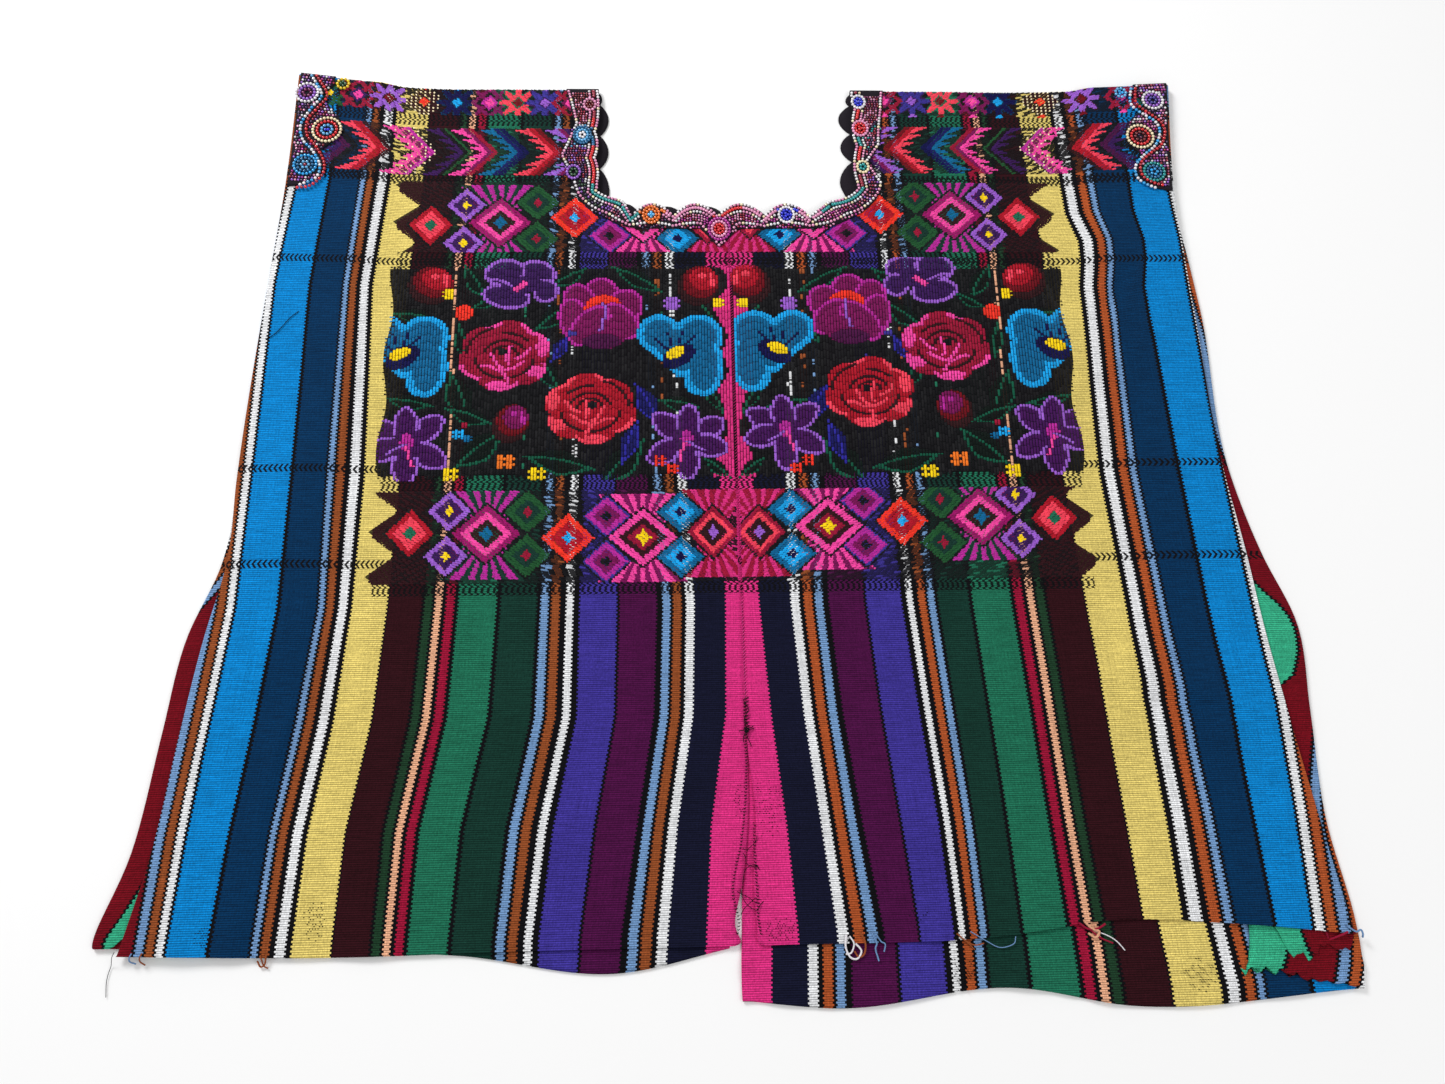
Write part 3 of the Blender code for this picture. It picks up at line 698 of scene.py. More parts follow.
def panel_row(side, layer, row, turn, offset):
    """Points and loom places of one row, offset from the cloth's middle sheet."""
    inner_across, inner_down, outer_down, hem_share = row
    name = edge_name(side, layer)
    edge = float(side_edge(side, layer, outer_down))
    flap = float(side_edge(side, "front", outer_down)) - TURNED_IN
    slope_start, slope_end = flap - SLOPE_START, flap - SLOPE_END
    flat = np.concatenate([
        np.linspace(inner_across, slope_start, MAIN_COLUMNS + 1)[:-1],
        np.linspace(slope_start, slope_end, SLOPE_COLUMNS + 1)[:-1],
        np.linspace(slope_end, edge, STRIP_COLUMNS + 1),
    ])
    angle = np.linspace(0, math.pi, FOLD_COLUMNS_ROUND + 1)[1:]
    under = np.linspace(edge, flap - DEEPER_TURN.get(name, 0) * hem_share, FLAP_COLUMNS + 1)[1:]

    def columns(*parts):
        """Values of the flat part, of the fold and of the turned-in part, side by side."""
        sizes = (len(flat), len(angle), len(under))
        return np.concatenate([np.broadcast_to(part, size) for part, size in zip(parts, sizes)])

    across = columns(flat, edge + FOLD_RADIUS * np.sin(angle), under)
    share = np.minimum(1, (across - inner_across) / (edge - inner_across))
    down = inner_down + (outer_down - inner_down) * share
    down = down + (hem_down(side, layer, across) - down) * hem_share
    frayed = 1 + 0.14 * np.sin(under / 1.7) + 0.08 * np.sin(under / 0.7 + 1)
    down = down - columns(0, 0, straight(TURNED_ENDS[name], under) * hem_share * frayed)
    slope = ease(flat, slope_start, slope_end)
    rise = columns(slope, 1, 1)
    lift = neck_lift(across, down) * (1 - rise) + armhole_lift(outer_down) * rise
    if layer == "front":
        on_main = columns(1, (1 + np.cos(angle)) / 2, 0)
        lift = lift + front_shape(side, across, down) * on_main * ease(down, 0, 40)
    else:
        lift = lift + back_ruffle(side, across, down)
    past_fold = columns(0, FOLD_RADIUS * angle, math.pi * FOLD_RADIUS + edge - under) * OUTER_STRETCH[side]
    loom = loom_place(side, columns(flat, edge, edge), down, layer) + past_fold
    turned = 2 * FOLD_RADIUS + FOLD_RADIUS * np.cos(angle)
    radius = columns(FOLD_RADIUS + (SIDE_RADIUS - FOLD_RADIUS) * slope, turned, FOLD_RADIUS)
    radius = radius + columns(1, np.cos(angle), -1) * offset
    middle = CLOTH / 2 + FOLD_RADIUS + (SIDE_RADIUS - FOLD_RADIUS) * rise
    moved = across + columns(0, np.sin(angle), 0) * offset
    points = bent_row(side, moved, down, turn, middle + lift, radius)
    apart = across if layer == "front" else across + BROCADE_EDGE
    return points, np.stack([loom, down - math.sin(turn) * FOLD_RADIUS, apart], axis=-1)


def make_panel(name, side, material):
    """One loom length: back, shoulder fold and front, with its side edges turned in."""
    back, front = layer_rows(side, "back"), layer_rows(side, "front")
    path = [("back", row, 0) for row in back[::-1]]
    path += [("back", back[0], turn) for turn in FOLD_TURNS]
    path += [("front", row, math.pi) for row in front]
    sheets = [[panel_row(side, *place, offset) for place in path] for offset in (CLOTH / 2, -CLOTH / 2)]
    points, faces = wall(*(np.array([place[0] for place in sheet]) for sheet in sheets))
    places = np.concatenate([place[1] for sheet in sheets for place in sheet])
    return make_mesh(name, points, faces[:, ::-side], material, loom=places)


# Weaving on a canvas: a grid of places that motifs are painted on

class Canvas:
    """Places across and down, and the ink at each."""

    def __init__(self, side, acrosses, downs):
        self.side = side
        self.acrosses = acrosses
        self.downs = downs
        self.across, self.down = np.meshgrid(acrosses, downs)
        self.ink = np.full(self.across.shape, NO_INK)

    def paint(self, mask, colour):
        self.ink[mask] = GROUND_INK if colour == "ground" else INKS.index(colour)

    def local(self, across, down, angle=0):
        """Coordinates about a place: x away from the seam, y up, turned by an angle in degrees."""
        across, down = on_cloth(across, down)
        x = self.across - across
        y = down - self.down
        turn = math.radians(angle)
        return x * math.cos(turn) + y * math.sin(turn), y * math.cos(turn) - x * math.sin(turn)


def diamond(canvas, across, down, half_width, half_height, layers):
    """Nested diamonds: each layer is (share of the size, colour)."""
    x, y = canvas.local(across, down)
    size = np.abs(x) / half_width + np.abs(y) / half_height
    for share, colour in layers:
        canvas.paint(size < share, colour)


def small_star(canvas, across, down, half_width, half_height, colour):
    x, y = canvas.local(across, down)
    canvas.paint((np.abs(x) / half_width) ** 0.75 + (np.abs(y) / half_height) ** 0.75 < 1, colour)


def fan(canvas, across, down, half_width, reach, colour, ground):
    """Rays that spread from behind a diamond to both edges of its band."""
    x, y = canvas.local(across, down)
    height = np.abs(y)
    angle = np.arctan2(x, height - 6)
    inside = (height > 9) & (height < reach) & (np.abs(x) < half_width * (0.25 + 0.8 * height / reach))
    canvas.paint(inside, ground)
    canvas.paint(inside & (np.cos(angle * 20) > -0.15), colour)


def petal(canvas, across, down, length, width, angle, body, rim=None, rim_width=0, power=2):
    """An oval petal, turned by an angle, with a rim of another colour."""
    x, y = canvas.local(across, down, angle)
    for less, colour in ((0, rim), (rim_width, body)):
        if colour:
            size = (np.abs(x) / (length / 2 - less)) ** power + (np.abs(y) / (width / 2 - less)) ** power
            canvas.paint(size < 1, colour)


def stroke(canvas, start, end, thickness, colour, bow=0):
    """A stroke between two (across, down) places, bowed to one side."""
    x, y = canvas.local(*start)
    length_x = end[0] - start[0]
    length_y = start[1] - end[1]
    length = math.hypot(length_x, length_y)
    ahead = (x * length_x + y * length_y) / length
    beside = (y * length_x - x * length_y) / length
    share = np.clip(ahead / length, 0, 1)
    off = beside - 4 * bow * share * (1 - share)
    canvas.paint((np.abs(off) < thickness / 2) & (ahead > 0) & (ahead < length), colour)


# A rose's marks, in sizes from its middle: lit edge's turns, lit petals, creases and lit strokes.
ROSE_RIMS = ((32, 70), (95, 118), (196, 232), (250, 292), (318, 346))
ROSE_PETALS = ((0.39, 0.12, 0.8, 1.7), (0.33, -0.22, 1.3, 0.9), (-0.06, -0.4, 1.5, 0.6))
ROSE_CREASES = (
    (0.31, 186, 352), (0.31, 40, 96), (0.21, 20, 168), (0.13, 340, 360), (0.13, 0, 190), (0.4, 108, 176),
)
ROSE_STROKES = (
    (-0.26, -0.12, -0.08, -0.17, 3, 2), (-0.08, -0.17, 0.2, -0.06, 3.2, -3), (-0.14, 0.04, 0, -0.16, 3, -2),
    (0.04, -0.12, 0.07, 0.12, 2.8, 2), (0.1, -0.04, 0.26, 0.1, 3, -2.5), (-0.02, -0.2, 0.04, -0.3, 3.2, 1),
)


def rose(canvas, across, down, size, body, rim, flip):
    """A full rose: lobed outer petals with bright rims, a few dark creases and a folded heart."""
    x, y = canvas.local(across, down)
    x, y = x * flip, y * 1.2
    angle = np.arctan2(y, x)
    turn = np.degrees(angle) % 360
    reach = np.hypot(x, y)
    outline = size / 2 * (0.84 + 0.14 * np.abs(np.sin(3 * angle + 0.5)) ** 0.7)
    inside = reach < outline
    canvas.paint(inside, body)
    for start, end in ROSE_RIMS:
        canvas.paint(inside & (reach > outline - 4.2) & (turn > start) & (turn < end), rim)
    for petal_x, petal_y, wide, tall in ROSE_PETALS:
        spot = np.hypot((x - size * petal_x) / wide, (y - size * petal_y) / tall)
        canvas.paint(inside & (spot < size * 0.085), rim)
    for radius, start, end in ROSE_CREASES:
        canvas.paint((turn > start) & (turn < end) & (np.abs(reach - size * radius) < 1.15), "dark_brown")
    canvas.paint(np.hypot(x + size * 0.02, y - size * 0.05) < size * 0.05, "black")
    for x0, y0, x1, y1, thickness, bow in ROSE_STROKES:
        first, last = ((across + x * size * flip, down - y * size) for x, y in ((x0, y0), (x1, y1)))
        stroke(canvas, first, last, thickness, rim, bow * flip)


def flower(canvas, across, down, size, flip, petals, strokes=()):
    """Petals, then strokes: places, lengths and widths are in half sizes from the flower's middle."""
    h = size / 2

    def at(x, y):
        return across + x * h * flip, down + y * h

    for x, y, length, width, angle, *look in petals:
        petal(canvas, *at(x, y), length * h, width * h, angle * flip, *look)
    for x0, y0, x1, y1, *look in strokes:
        stroke(canvas, at(x0, y0), at(x1, y1), *look)


# A calla's lobes, in half sizes: place towards the seam and up, then half width and half height.
CALLA_LOBES = (
    (-0.5, 0.52, 0.5, 0.5), (0.4, 0.45, 0.58, 0.56), (0.5, -0.26, 0.48, 0.78), (-0.05, 0.1, 0.66, 0.66),
)


def calla(canvas, across, down, size):
    """A blue calla: two round lobes and a body that a slanting edge cuts, all within a bright rim."""
    x, y = canvas.local(across, down)
    seamward, up = -2 * x / size, 2 * y / size
    rim = 0.15

    def heart(less):
        sizes = [np.hypot((seamward - x0) / (wide - less), (up - y0) / (tall - less))
                 for x0, y0, wide, tall in CALLA_LOBES]
        return np.min(sizes, axis=0) < 1

    above = up + 0.66 + 0.93 * seamward + 0.07 * np.sin(3 * seamward)
    canvas.paint(heart(0) & (above > 0), "cyan")
    canvas.paint(heart(rim) & (above > rim * 1.35), "teal_blue")
    creases = [(0.15, 0, -lean, -reach, 1.8, "midnight")
               for lean, reach in ((-0.62, 0.42), (-0.3, 0.56), (0.05, 0.6), (0.35, 0.5))]
    tail = (-0.12, 0.64, -0.4, 0.98, 6, "cyan", 2)
    flower(canvas, across, down, size, 1, [(0.06, 0.04, 0.84, 0.5, -32, "midnight")], [tail, *creases])
    flower(canvas, across, down, size, 1, [(0.13, -0.05, 0.5, 0.27, -24, "bright_yellow")])


def tulip(canvas, across, down, size):
    """A plum tulip, its petals edged in magenta, open round a red heart."""
    outer, inner = ("plum", "magenta", 3.2), ("plum", "magenta", 3)
    flower(canvas, across, down, size, 1, (
        (0.05, -0.5, 0.95, 1.05, 0, *outer), (-0.55, -0.18, 0.95, 1.05, 30, *outer),
        (0.58, -0.32, 0.85, 1.1, -18, *outer), (0.72, 0.16, 0.8, 1.2, -12, *outer),
        (-0.02, -0.16, 0.95, 0.72, 0, "red_orange"), (-0.02, 0.02, 0.72, 0.62, 0, "crimson"),
        (-0.45, 0.22, 1.2, 0.78, 48, *inner), (0.32, 0.34, 1.35, 0.8, -48, *inner),
        (0.02, 0.6, 1.25, 0.8, 0, "plum"), (0.02, 0.78, 0.95, 0.42, 0, "purple"),
    ), [(-0.02, -0.3, 0.06, 0.5, 2.6, "lilac", -2)])


def pansy(canvas, across, down, size):
    """A dark violet pansy with lilac rims and a pink heart."""
    look = ("dark_violet", "lilac")
    flower(canvas, across, down, size, 1, (
        (-0.42, -0.38, 1.05, 0.78, 15, *look, 3.4), (0.42, -0.4, 1.1, 0.82, -8, *look, 3.4),
        (-0.66, 0.14, 0.72, 0.7, 70, *look, 3.2), (0.36, 0.3, 1.3, 0.74, 10, *look, 3.4),
        (-0.05, -0.04, 1.1, 0.5, 0, "dark_violet"),
    ), ((-0.16, -0.12, 0.16, 0.14, 5, "hot_pink"), (0.2, 0.02, 0.8, -0.2, 2.6, "lilac", 2)))


def lily(canvas, across, down, size, flip):
    """A violet lily: pointed petals with lilac rims round a magenta heart."""
    petals = []
    for angle, reach in ((150, 0.62), (40, 0.62), (195, 0.6), (330, 0.66), (270, 0.62), (95, 0.5)):
        turn = math.radians(angle)
        place = (reach * math.cos(turn), -reach * math.sin(turn))
        petals.append((*place, 1.15, 0.72, angle, "purple_dark", "lilac", 3, 1.7))
    petals += [(0, 0, 0.7, 0.9, 0, "purple_dark"), (0, -0.05, 0.34, 0.5, 0, "magenta")]
    strokes = ((0, 0, 0.2, 0.62, 2.6, "hot_pink", 1), (0, 0, -0.5, 0.3, 2.4, "lilac", 1))
    flower(canvas, across, down, size, flip, petals, strokes)


def bud(canvas, across, down, size, wide, tall, body, glow):
    """A round bud, dark below and outwards and lit towards the seam."""
    width, height = size * wide, size * tall
    for x, y, length, thickness, angle, colour in (
        (0, 0.04, 1, 1, 20, "dark_brown"), (-0.06, -0.06, 0.9, 0.82, 20, "dark_red"),
        (-0.14, -0.14, 0.7, 0.6, 20, body), (-0.33, -0.12, 0.14, 0.4, -10, glow),
        (-0.1, -0.22, 0.2, 0.16, 0, glow),
    ):
        place = (across + width * x, down + height * y)
        petal(canvas, *place, width * length, height * thickness, angle, colour)


def leaf(canvas, across, down, length, width, angle, colour="leaf_line"):
    """A dark leaf: a thin outline and a bent midrib."""
    x, y = canvas.local(across, down, angle)
    along, beside = 2 * x / length, 2 * y / width
    size = np.abs(along) ** 1.3 + np.abs(beside) ** 1.3
    canvas.paint(size < 1, "leaf_dark" if colour == "leaf_line" else "indigo_dark")
    middle = (np.abs(y - 0.05 * length * (1 - along**2)) < 1.1) & (size < 1.25)
    edge = (size > 0.74) & (size < 1.02) & (y < 0)
    canvas.paint(middle | edge, colour)


def blossom(canvas, across, down, size, colour):
    """A tiny flower: a hash of short stitches."""
    x, y = canvas.local(across, down)
    bars = (np.abs(np.abs(x) - size * 0.25) < size * 0.17) & (np.abs(y) < size / 2)
    bars |= (np.abs(np.abs(y) - size * 0.2) < size * 0.12) & (np.abs(x) < size * 0.58)
    canvas.paint(bars, colour)


# What the flower panel holds: kind, across and down on the left half, then on the right half, size, look.
FLOWERS = (
    (calla, 268, 262, 268, 256, 72), (lily, 262, 340, 262, 334, 62, -1),
    (bud, 251, 196, 253, 192, 40, 0.95, 0.86, "red", "coral"), (pansy, 176, 198, 162.5, 193, 64),
    (bud, 180, 322, 183, 311, 34, 0.85, 1, "plum", "magenta"),
    (rose, 187, 262, 180, 254.5, 79, "crimson", "hot_pink", -1), (tulip, 107, 224, 99, 220, 66),
    (rose, 116, 310, 113, 296, 78, "red", "coral", 1), (lily, 38, 338, 42, 330, 60, 1),
    (calla, 42, 262, 34, 258, 72), (bud, 27, 197, 17, 195, 38, 0.9, 1, "red", "coral"),
)
# Blossoms: across, down, size, colour.
BLOSSOMS = (
    (236, 205, 9, "bright_yellow"), (183, 356, 13, "orange"), (157, 367, 12, "bright_yellow"),
    (221, 332, 9, "cyan"), (226, 366, 11, "bright_yellow"), (60, 356, 9, "red_orange"),
    (50, 363, 9, "red_orange"), (49, 215, 12, "lilac"), (10, 214, 9, "bright_yellow"),
    (216, 324, 5, "crimson"), (132, 243, 6, "violet"), (214, 336, 6, "teal_blue"),
)
# Leaves: across, down, length, width, angle, colour.
LEAVES = (
    (222, 300, 46, 22, 70), (204, 345, 44, 24, -40), (214, 316, 36, 16, 20), (140, 357, 52, 22, 12),
    (90, 358, 48, 24, -50), (70, 306, 36, 18, 62, "indigo"), (84, 340, 34, 16, -72, "indigo"),
    (66, 238, 30, 16, -60), (146, 226, 40, 18, -38), (222, 250, 30, 14, 80), (78, 192, 44, 16, 30),
    (136, 190, 30, 16, -30), (214, 194, 34, 16, 60), (204, 212, 26, 12, -30), (16, 300, 30, 12, 60),
    (16, 230, 26, 11, 60), (14, 362, 24, 11, 40), (262, 226, 34, 14, 10), (150, 280, 30, 16, 60),
    (262, 304, 34, 14, 10), (142, 256, 24, 12, -60, "indigo"), (44, 306, 30, 14, 10),
)
PANEL_EDGE = 281
# Half-width of the pink by the seam that the flowers leave bare, at places down.
BARE_PINK = (
    (176, 14), (186, 5), (204, 3), (216, 12), (232, 9), (246, 3), (262, 6), (280, 3), (300, 11), (316, 7),
    (330, 4), (352, 12), (369, 14),
)


def draw_flowers(canvas):
    """Paints one half of the flower panel."""
    teeth = 3 * np.abs(np.sin(canvas.across / 3.4)) * (np.sin(canvas.across / 11) > -0.2)
    ground = (canvas.down > PANEL_GROUND[0] - teeth) & (canvas.down < PANEL_GROUND[1] + teeth)
    outer = PANEL_EDGE + 2 * np.sin(canvas.down * 1.9) + 2.5 * np.sin(canvas.down / 13)
    canvas.paint(ground & (canvas.across < outer), "black")
    canvas.paint(ground & (canvas.across < column(BARE_PINK, canvas.down) * 1.15), "pink")
    for row in LEAVES:
        leaf(canvas, *row)
    for draw, left_across, left_down, right_across, right_down, *look in FLOWERS:
        place = (left_across, left_down) if canvas.side < 0 else (right_across, right_down)
        draw(canvas, *place, *look)
    canvas.paint(np.hypot(*canvas.local(222, 222.5)) < 7.5, "red_orange")
    for row in BLOSSOMS:
        blossom(canvas, *row)
    canvas.ink[canvas.across > outer] = NO_INK


# Stripes that show through the black ground of the flower panel, as broken dashes: loom place, width, share.
PEEP_STRIPES = (
    (58.5, 3.6, "white", 0.5), (69.5, 3, "brown", 0.3), (152.5, 3.2, "white", 0.45), (163, 3, "brown", 0.3),
    (171, 2.6, "light_blue", 0.15), (79, 2.6, "light_blue", 0.25), (248.3, 2.8, "peach", 0.75),
    (130, 2.4, "violet", 0.1), (191, 2.4, "green", 0.1),
)
DASH_LENGTH = 5


def show_stripes(canvas, random):
    """Lets narrow stripes peep through the ground."""
    loom = loom_place(canvas.side, canvas.across, canvas.down)
    black = canvas.ink == INKS.index("black")
    count = len(canvas.acrosses)
    for middle, width, colour, share in PEEP_STRIPES:
        chance = random.random((int((canvas.downs[-1] - canvas.downs[0]) / DASH_LENGTH) + 2, count))
        step = ((canvas.downs - canvas.downs[0]) / DASH_LENGTH).astype(int)
        shown = chance[step] < share * 1.25
        shown &= random.random(loom.shape) < 0.85
        canvas.paint(black & shown & (np.abs(loom - middle) < width / 2), colour)


# Outer edge of a diamond band's dark ground, which has a spike at its middle and at its corners.
BAND_EDGE = 286
BAND_SPIKE = 24
BAND_PERIOD = 36

# The diamonds of one half of a band: across, places above its middle line, half sizes, layers, star, rays.
DIAMONDS = (
    (254, (0,), 18.6, 19.5, ((1, "red"), (0.72, "coral"), (0.3, "green")), None, None),
    (224.5, (18.5,), 17, 16.5, ((1, "lilac"), (0.66, "dark_violet")), "bright_yellow", None),
    (225.5, (-18.5,), 17, 16.5, ((1, "lilac"), (0.66, "dark_violet")), "bright_yellow", None),
    (163.5, (18, -18), 18.5, 17.5, ((1, "leaf"), (0.58, "dark_green")), "crimson", None),
    (
        195, (0,), 26.6, 24, ((1, "magenta_dark"), (0.76, "hot_pink"), (0.5, "dark_brown")), "teal_blue",
        ("magenta", "dark_green"),
    ),
    (131.5, (0,), 20.5, 20, ((1, "red_orange"), (0.68, "red")), "cyan", None),
    (
        101.5, (18.5, -18.5), 18.5, 17.5, ((1, "violet"), (0.9, "magenta"), (0.58, "plum"), (0.26, "black")),
        None, None,
    ),
    (43.5, (18.5, -18.5), 18.3, 16.8, ((1, "teal_blue"), (0.64, "cyan"), (0.26, "midnight")), None, None),
    (
        73, (0,), 27, 23.5, ((1, "hot_pink"), (0.7, "dark_brown"), (0.47, "crimson")), "bright_yellow",
        ("hot_pink", "plum"),
    ),
    (
        18, (0,), 20.5, 21.5, ((1, "crimson"), (0.8, "coral"), (0.56, "dark_brown")), "lilac",
        ("crimson", "pink"),
    ),
)
OUTER_DIAMOND = 254
OUTLINE = 2.2
# Middle lines of the two diamond bands: across, then down on the left and on the right half.
LOWER_MIDDLE = (
    (0, 415, 416), (45, 418, 416), (75, 420, 412), (131, 420, 408.5), (165, 416, 408.5), (195, 416, 405.5),
    (254, 415, 407),
)
UPPER_MIDDLE = ((0, 136, 131), (131, 132, 128), (165, 135, 128), (254, 139, 130))


def middle_down(side, middles, across):
    """Where a band's middle line lies, down."""
    return float(column(middles, across, 1 if side < 0 else 2))


def draw_diamonds(canvas, middles):
    """Paints one half of a diamond band."""
    x, y = canvas.local(0, middle_down(canvas.side, middles, OUTER_DIAMOND))
    spikes = BAND_EDGE - BAND_SPIKE * (1 - np.abs(np.abs(y) % BAND_PERIOD / BAND_PERIOD * 2 - 1))
    canvas.paint(x < spikes, "ground")
    loom = loom_place(canvas.side, canvas.across, canvas.down)
    canvas.paint((loom > YELLOW_FROM) & (x < spikes), "dark_brown")
    rays = np.cos((np.abs(y) - 0.55 * (x - 235)) * 1.35) > 0.2
    canvas.paint((x > 236) & (x < spikes) & rays, "maroon")
    shapes = []
    for across, offs, wide, tall, layers, star, fan_colours in DIAMONDS:
        for off in offs:
            place = (across, middle_down(canvas.side, middles, across) - off)
            shapes.append((place, wide, tall, layers, star))
            if fan_colours:
                fan(canvas, *place, wide * 1.25, BAND_PERIOD + 0.5, *fan_colours)
    for place, wide, tall, layers, star in shapes:
        diamond(canvas, *place, wide + OUTLINE, tall + OUTLINE, ((1, "black"),))
        diamond(canvas, *place, wide, tall, layers)
        if star:
            small_star(canvas, *place, wide * 0.26, tall * 0.32, star)


# Chevrons of the shoulder band, tips towards the neck: tip on each half, colours of edge, body and teeth,
# widths of edge and body, and whether it is dotted.
CHEVRONS = (
    (352, 352, "black", "dark_violet", "lilac", 7, 9, False),
    (318, 324, "black", "purple", "dark_violet", 7, 8, False),
    (289, 302, "dark_brown", "red", "coral", 5, 9, False),
    (253, 261, "magenta", "plum", "hot_pink", 4.5, 8, True),
    (221, 227, "leaf", "black", "dark_violet", 3, 5, False),
    (198, 197, "crimson", "plum", "hot_pink", 5, 5, False),
    (171, 171, "midnight", "indigo_dark", "teal_blue", 5, 6, False),
    (140, 138, "dark_red", "red", "coral", 5, 6, False),
    (115, 112, "dark_violet", "plum", "lilac", 5, 6, False),
)
CHEVRON_MIDDLE = {-1: 66, 1: 60}
CHEVRON_SLOPE = 0.95
CHEVRON_REACH = 25.5
TOOTH_PERIOD = 8.6
TOOTH_LENGTH = 12


def cream_dots(canvas, mask):
    """Cream dots in every other row, on every third place."""
    grid = (np.floor(canvas.down / 1.6) % 2 == 0) & (np.floor(canvas.across / 1.3) % 3 == 0)
    canvas.paint(mask & grid, "cream")


def draw_chevrons(canvas):
    """Paints one half of the chevron band."""
    x, y = canvas.local(0, CHEVRON_MIDDLE[canvas.side])
    height = np.abs(y)
    inside = height < CHEVRON_REACH
    canvas.paint(inside, "ground")
    for left, right, edge, body, teeth, edge_width, body_width, dotted in CHEVRONS:
        offset = x - (left if canvas.side < 0 else right) - height * CHEVRON_SLOPE
        teeth_start = edge_width + body_width
        reach = teeth_start + TOOTH_LENGTH * ((height + 3) % TOOTH_PERIOD / TOOTH_PERIOD)
        for start, end, colour in ((0, reach + 2.5, "black"), (edge_width, teeth_start, body),
                                   (teeth_start - 1, reach, teeth), (0, edge_width, edge)):
            canvas.paint(inside & (offset > start) & (offset < end), colour)
        if dotted:
            for spot in (-1.5, edge_width + 1, teeth_start + 3):
                cream_dots(canvas, inside & (np.abs(offset - spot) < 1.9))
            cross = np.abs((offset + 2 * height * CHEVRON_SLOPE) % 11 - 5.5) < 1.6
            canvas.paint(inside & cross & (offset > edge_width) & (offset < teeth_start + 9), "hot_pink")


# Stars of the band on the shoulder line: across on each half, body, rim, heart and number of points.
STARS = (
    (350, 385, "leaf", "dark_green", "bright_yellow", 4), (324, 360, "crimson", "dark_violet", "hot_pink", 4),
    (297, 323, "lilac", "dark_brown", "dark_red", 8), (267, 286, "dark_brown", "cream", "red_orange", 0),
    (238, 247, "midnight", "navy", "cyan", 8), (209, 223, "plum", "magenta", "hot_pink", 4),
    (184, 194, "coral", "green", "dark_red", 8), (160, 168, "violet", "dark_violet", "lilac", 8),
    (138, 143, "crimson", "plum", "hot_pink", 4),
)
STAR_MIDDLE = {-1: 14, 1: 10}
STAR_SIZE = 17


def draw_stars(canvas):
    """Paints one half of the star band, whose stars are cut by the shoulder line."""
    canvas.paint(canvas.down < STAR_BAND[1] - 1, "ground")
    for left, right, body, rim, heart, points in STARS:
        x, y = canvas.local(left if canvas.side < 0 else right, STAR_MIDDLE[canvas.side])
        reach = np.hypot(x, y)
        square = np.abs(x) + np.abs(y)
        if points == 8:
            outline = STAR_SIZE * (0.74 + 0.26 * np.cos(8 * np.arctan2(y, x)))
            canvas.paint(reach < outline + 1.5, rim)
            canvas.paint(reach < outline, body)
            canvas.paint(square < 6.5, rim)
        elif points == 4:
            canvas.paint(square < STAR_SIZE, "black")
            canvas.paint((square < STAR_SIZE) & (square > STAR_SIZE - 5), body)
            canvas.paint((np.abs(np.abs(x) - np.abs(y)) < 2.6) & (square < STAR_SIZE + 8), body)
            canvas.paint(square < 8, rim)
        else:
            canvas.paint(square < STAR_SIZE, body)
            for size in (8.5, 13, STAR_SIZE):
                cream_dots(canvas, np.abs(square - size) < 2)
        canvas.paint(square < 5, heart)
        for step in (-17, 17):
            canvas.paint(np.abs(x) + np.abs(y - step) < 4.2, heart)


# From canvas to raised stitches

CORD_PITCH = 2.45
PICK_PITCH = 1.22
ROW_PITCH = 1.6
STITCH_STEP = 1.3
LONGEST_RUN = 7.4
LONGEST_STITCH = 5.3
ROW_SLANT = 0.55
END_TAPER = 0.4
STITCH_LIFT = 0.1
RUN_GAP = 0.06


def runs_of(line, step, longest, random):
    """Stretches of one ink along a line of a canvas, as (first place, last place, ink), none over longest."""
    changes = np.flatnonzero(np.diff(line)) + 1
    most = max(1, int(longest / step))
    found = []
    for start, end in zip([0, *changes], [*changes, len(line)]):
        first = start
        while first < end and line[start] != NO_INK:
            most_here = most if first > start else random.integers(most // 2, most + 1)
            last = min(first + most_here, end)
            found.append((first, last, line[start]))
            first = last
    return found


def ground_colours(side, across, down, random):
    """Dark stitches of a band's ground: the stripe below them, deepened, with a bright one here and there."""
    loom = loom_place(side, across, down)
    ends = np.array([end for colour, end in STRIPES])
    stripe = np.array([linear(colour) for colour, end in STRIPES])[np.searchsorted(ends, loom)]
    pale = stripe.max(axis=1) > 0.5
    shown = random.random(len(loom)) < np.where(pale, 0.3, 0.14)
    bright = np.where(shown, 0.9, np.where(pale, 0.02, GROUND_SHADE))
    return stripe * bright[:, None] + linear("black") * (1 - bright[:, None])


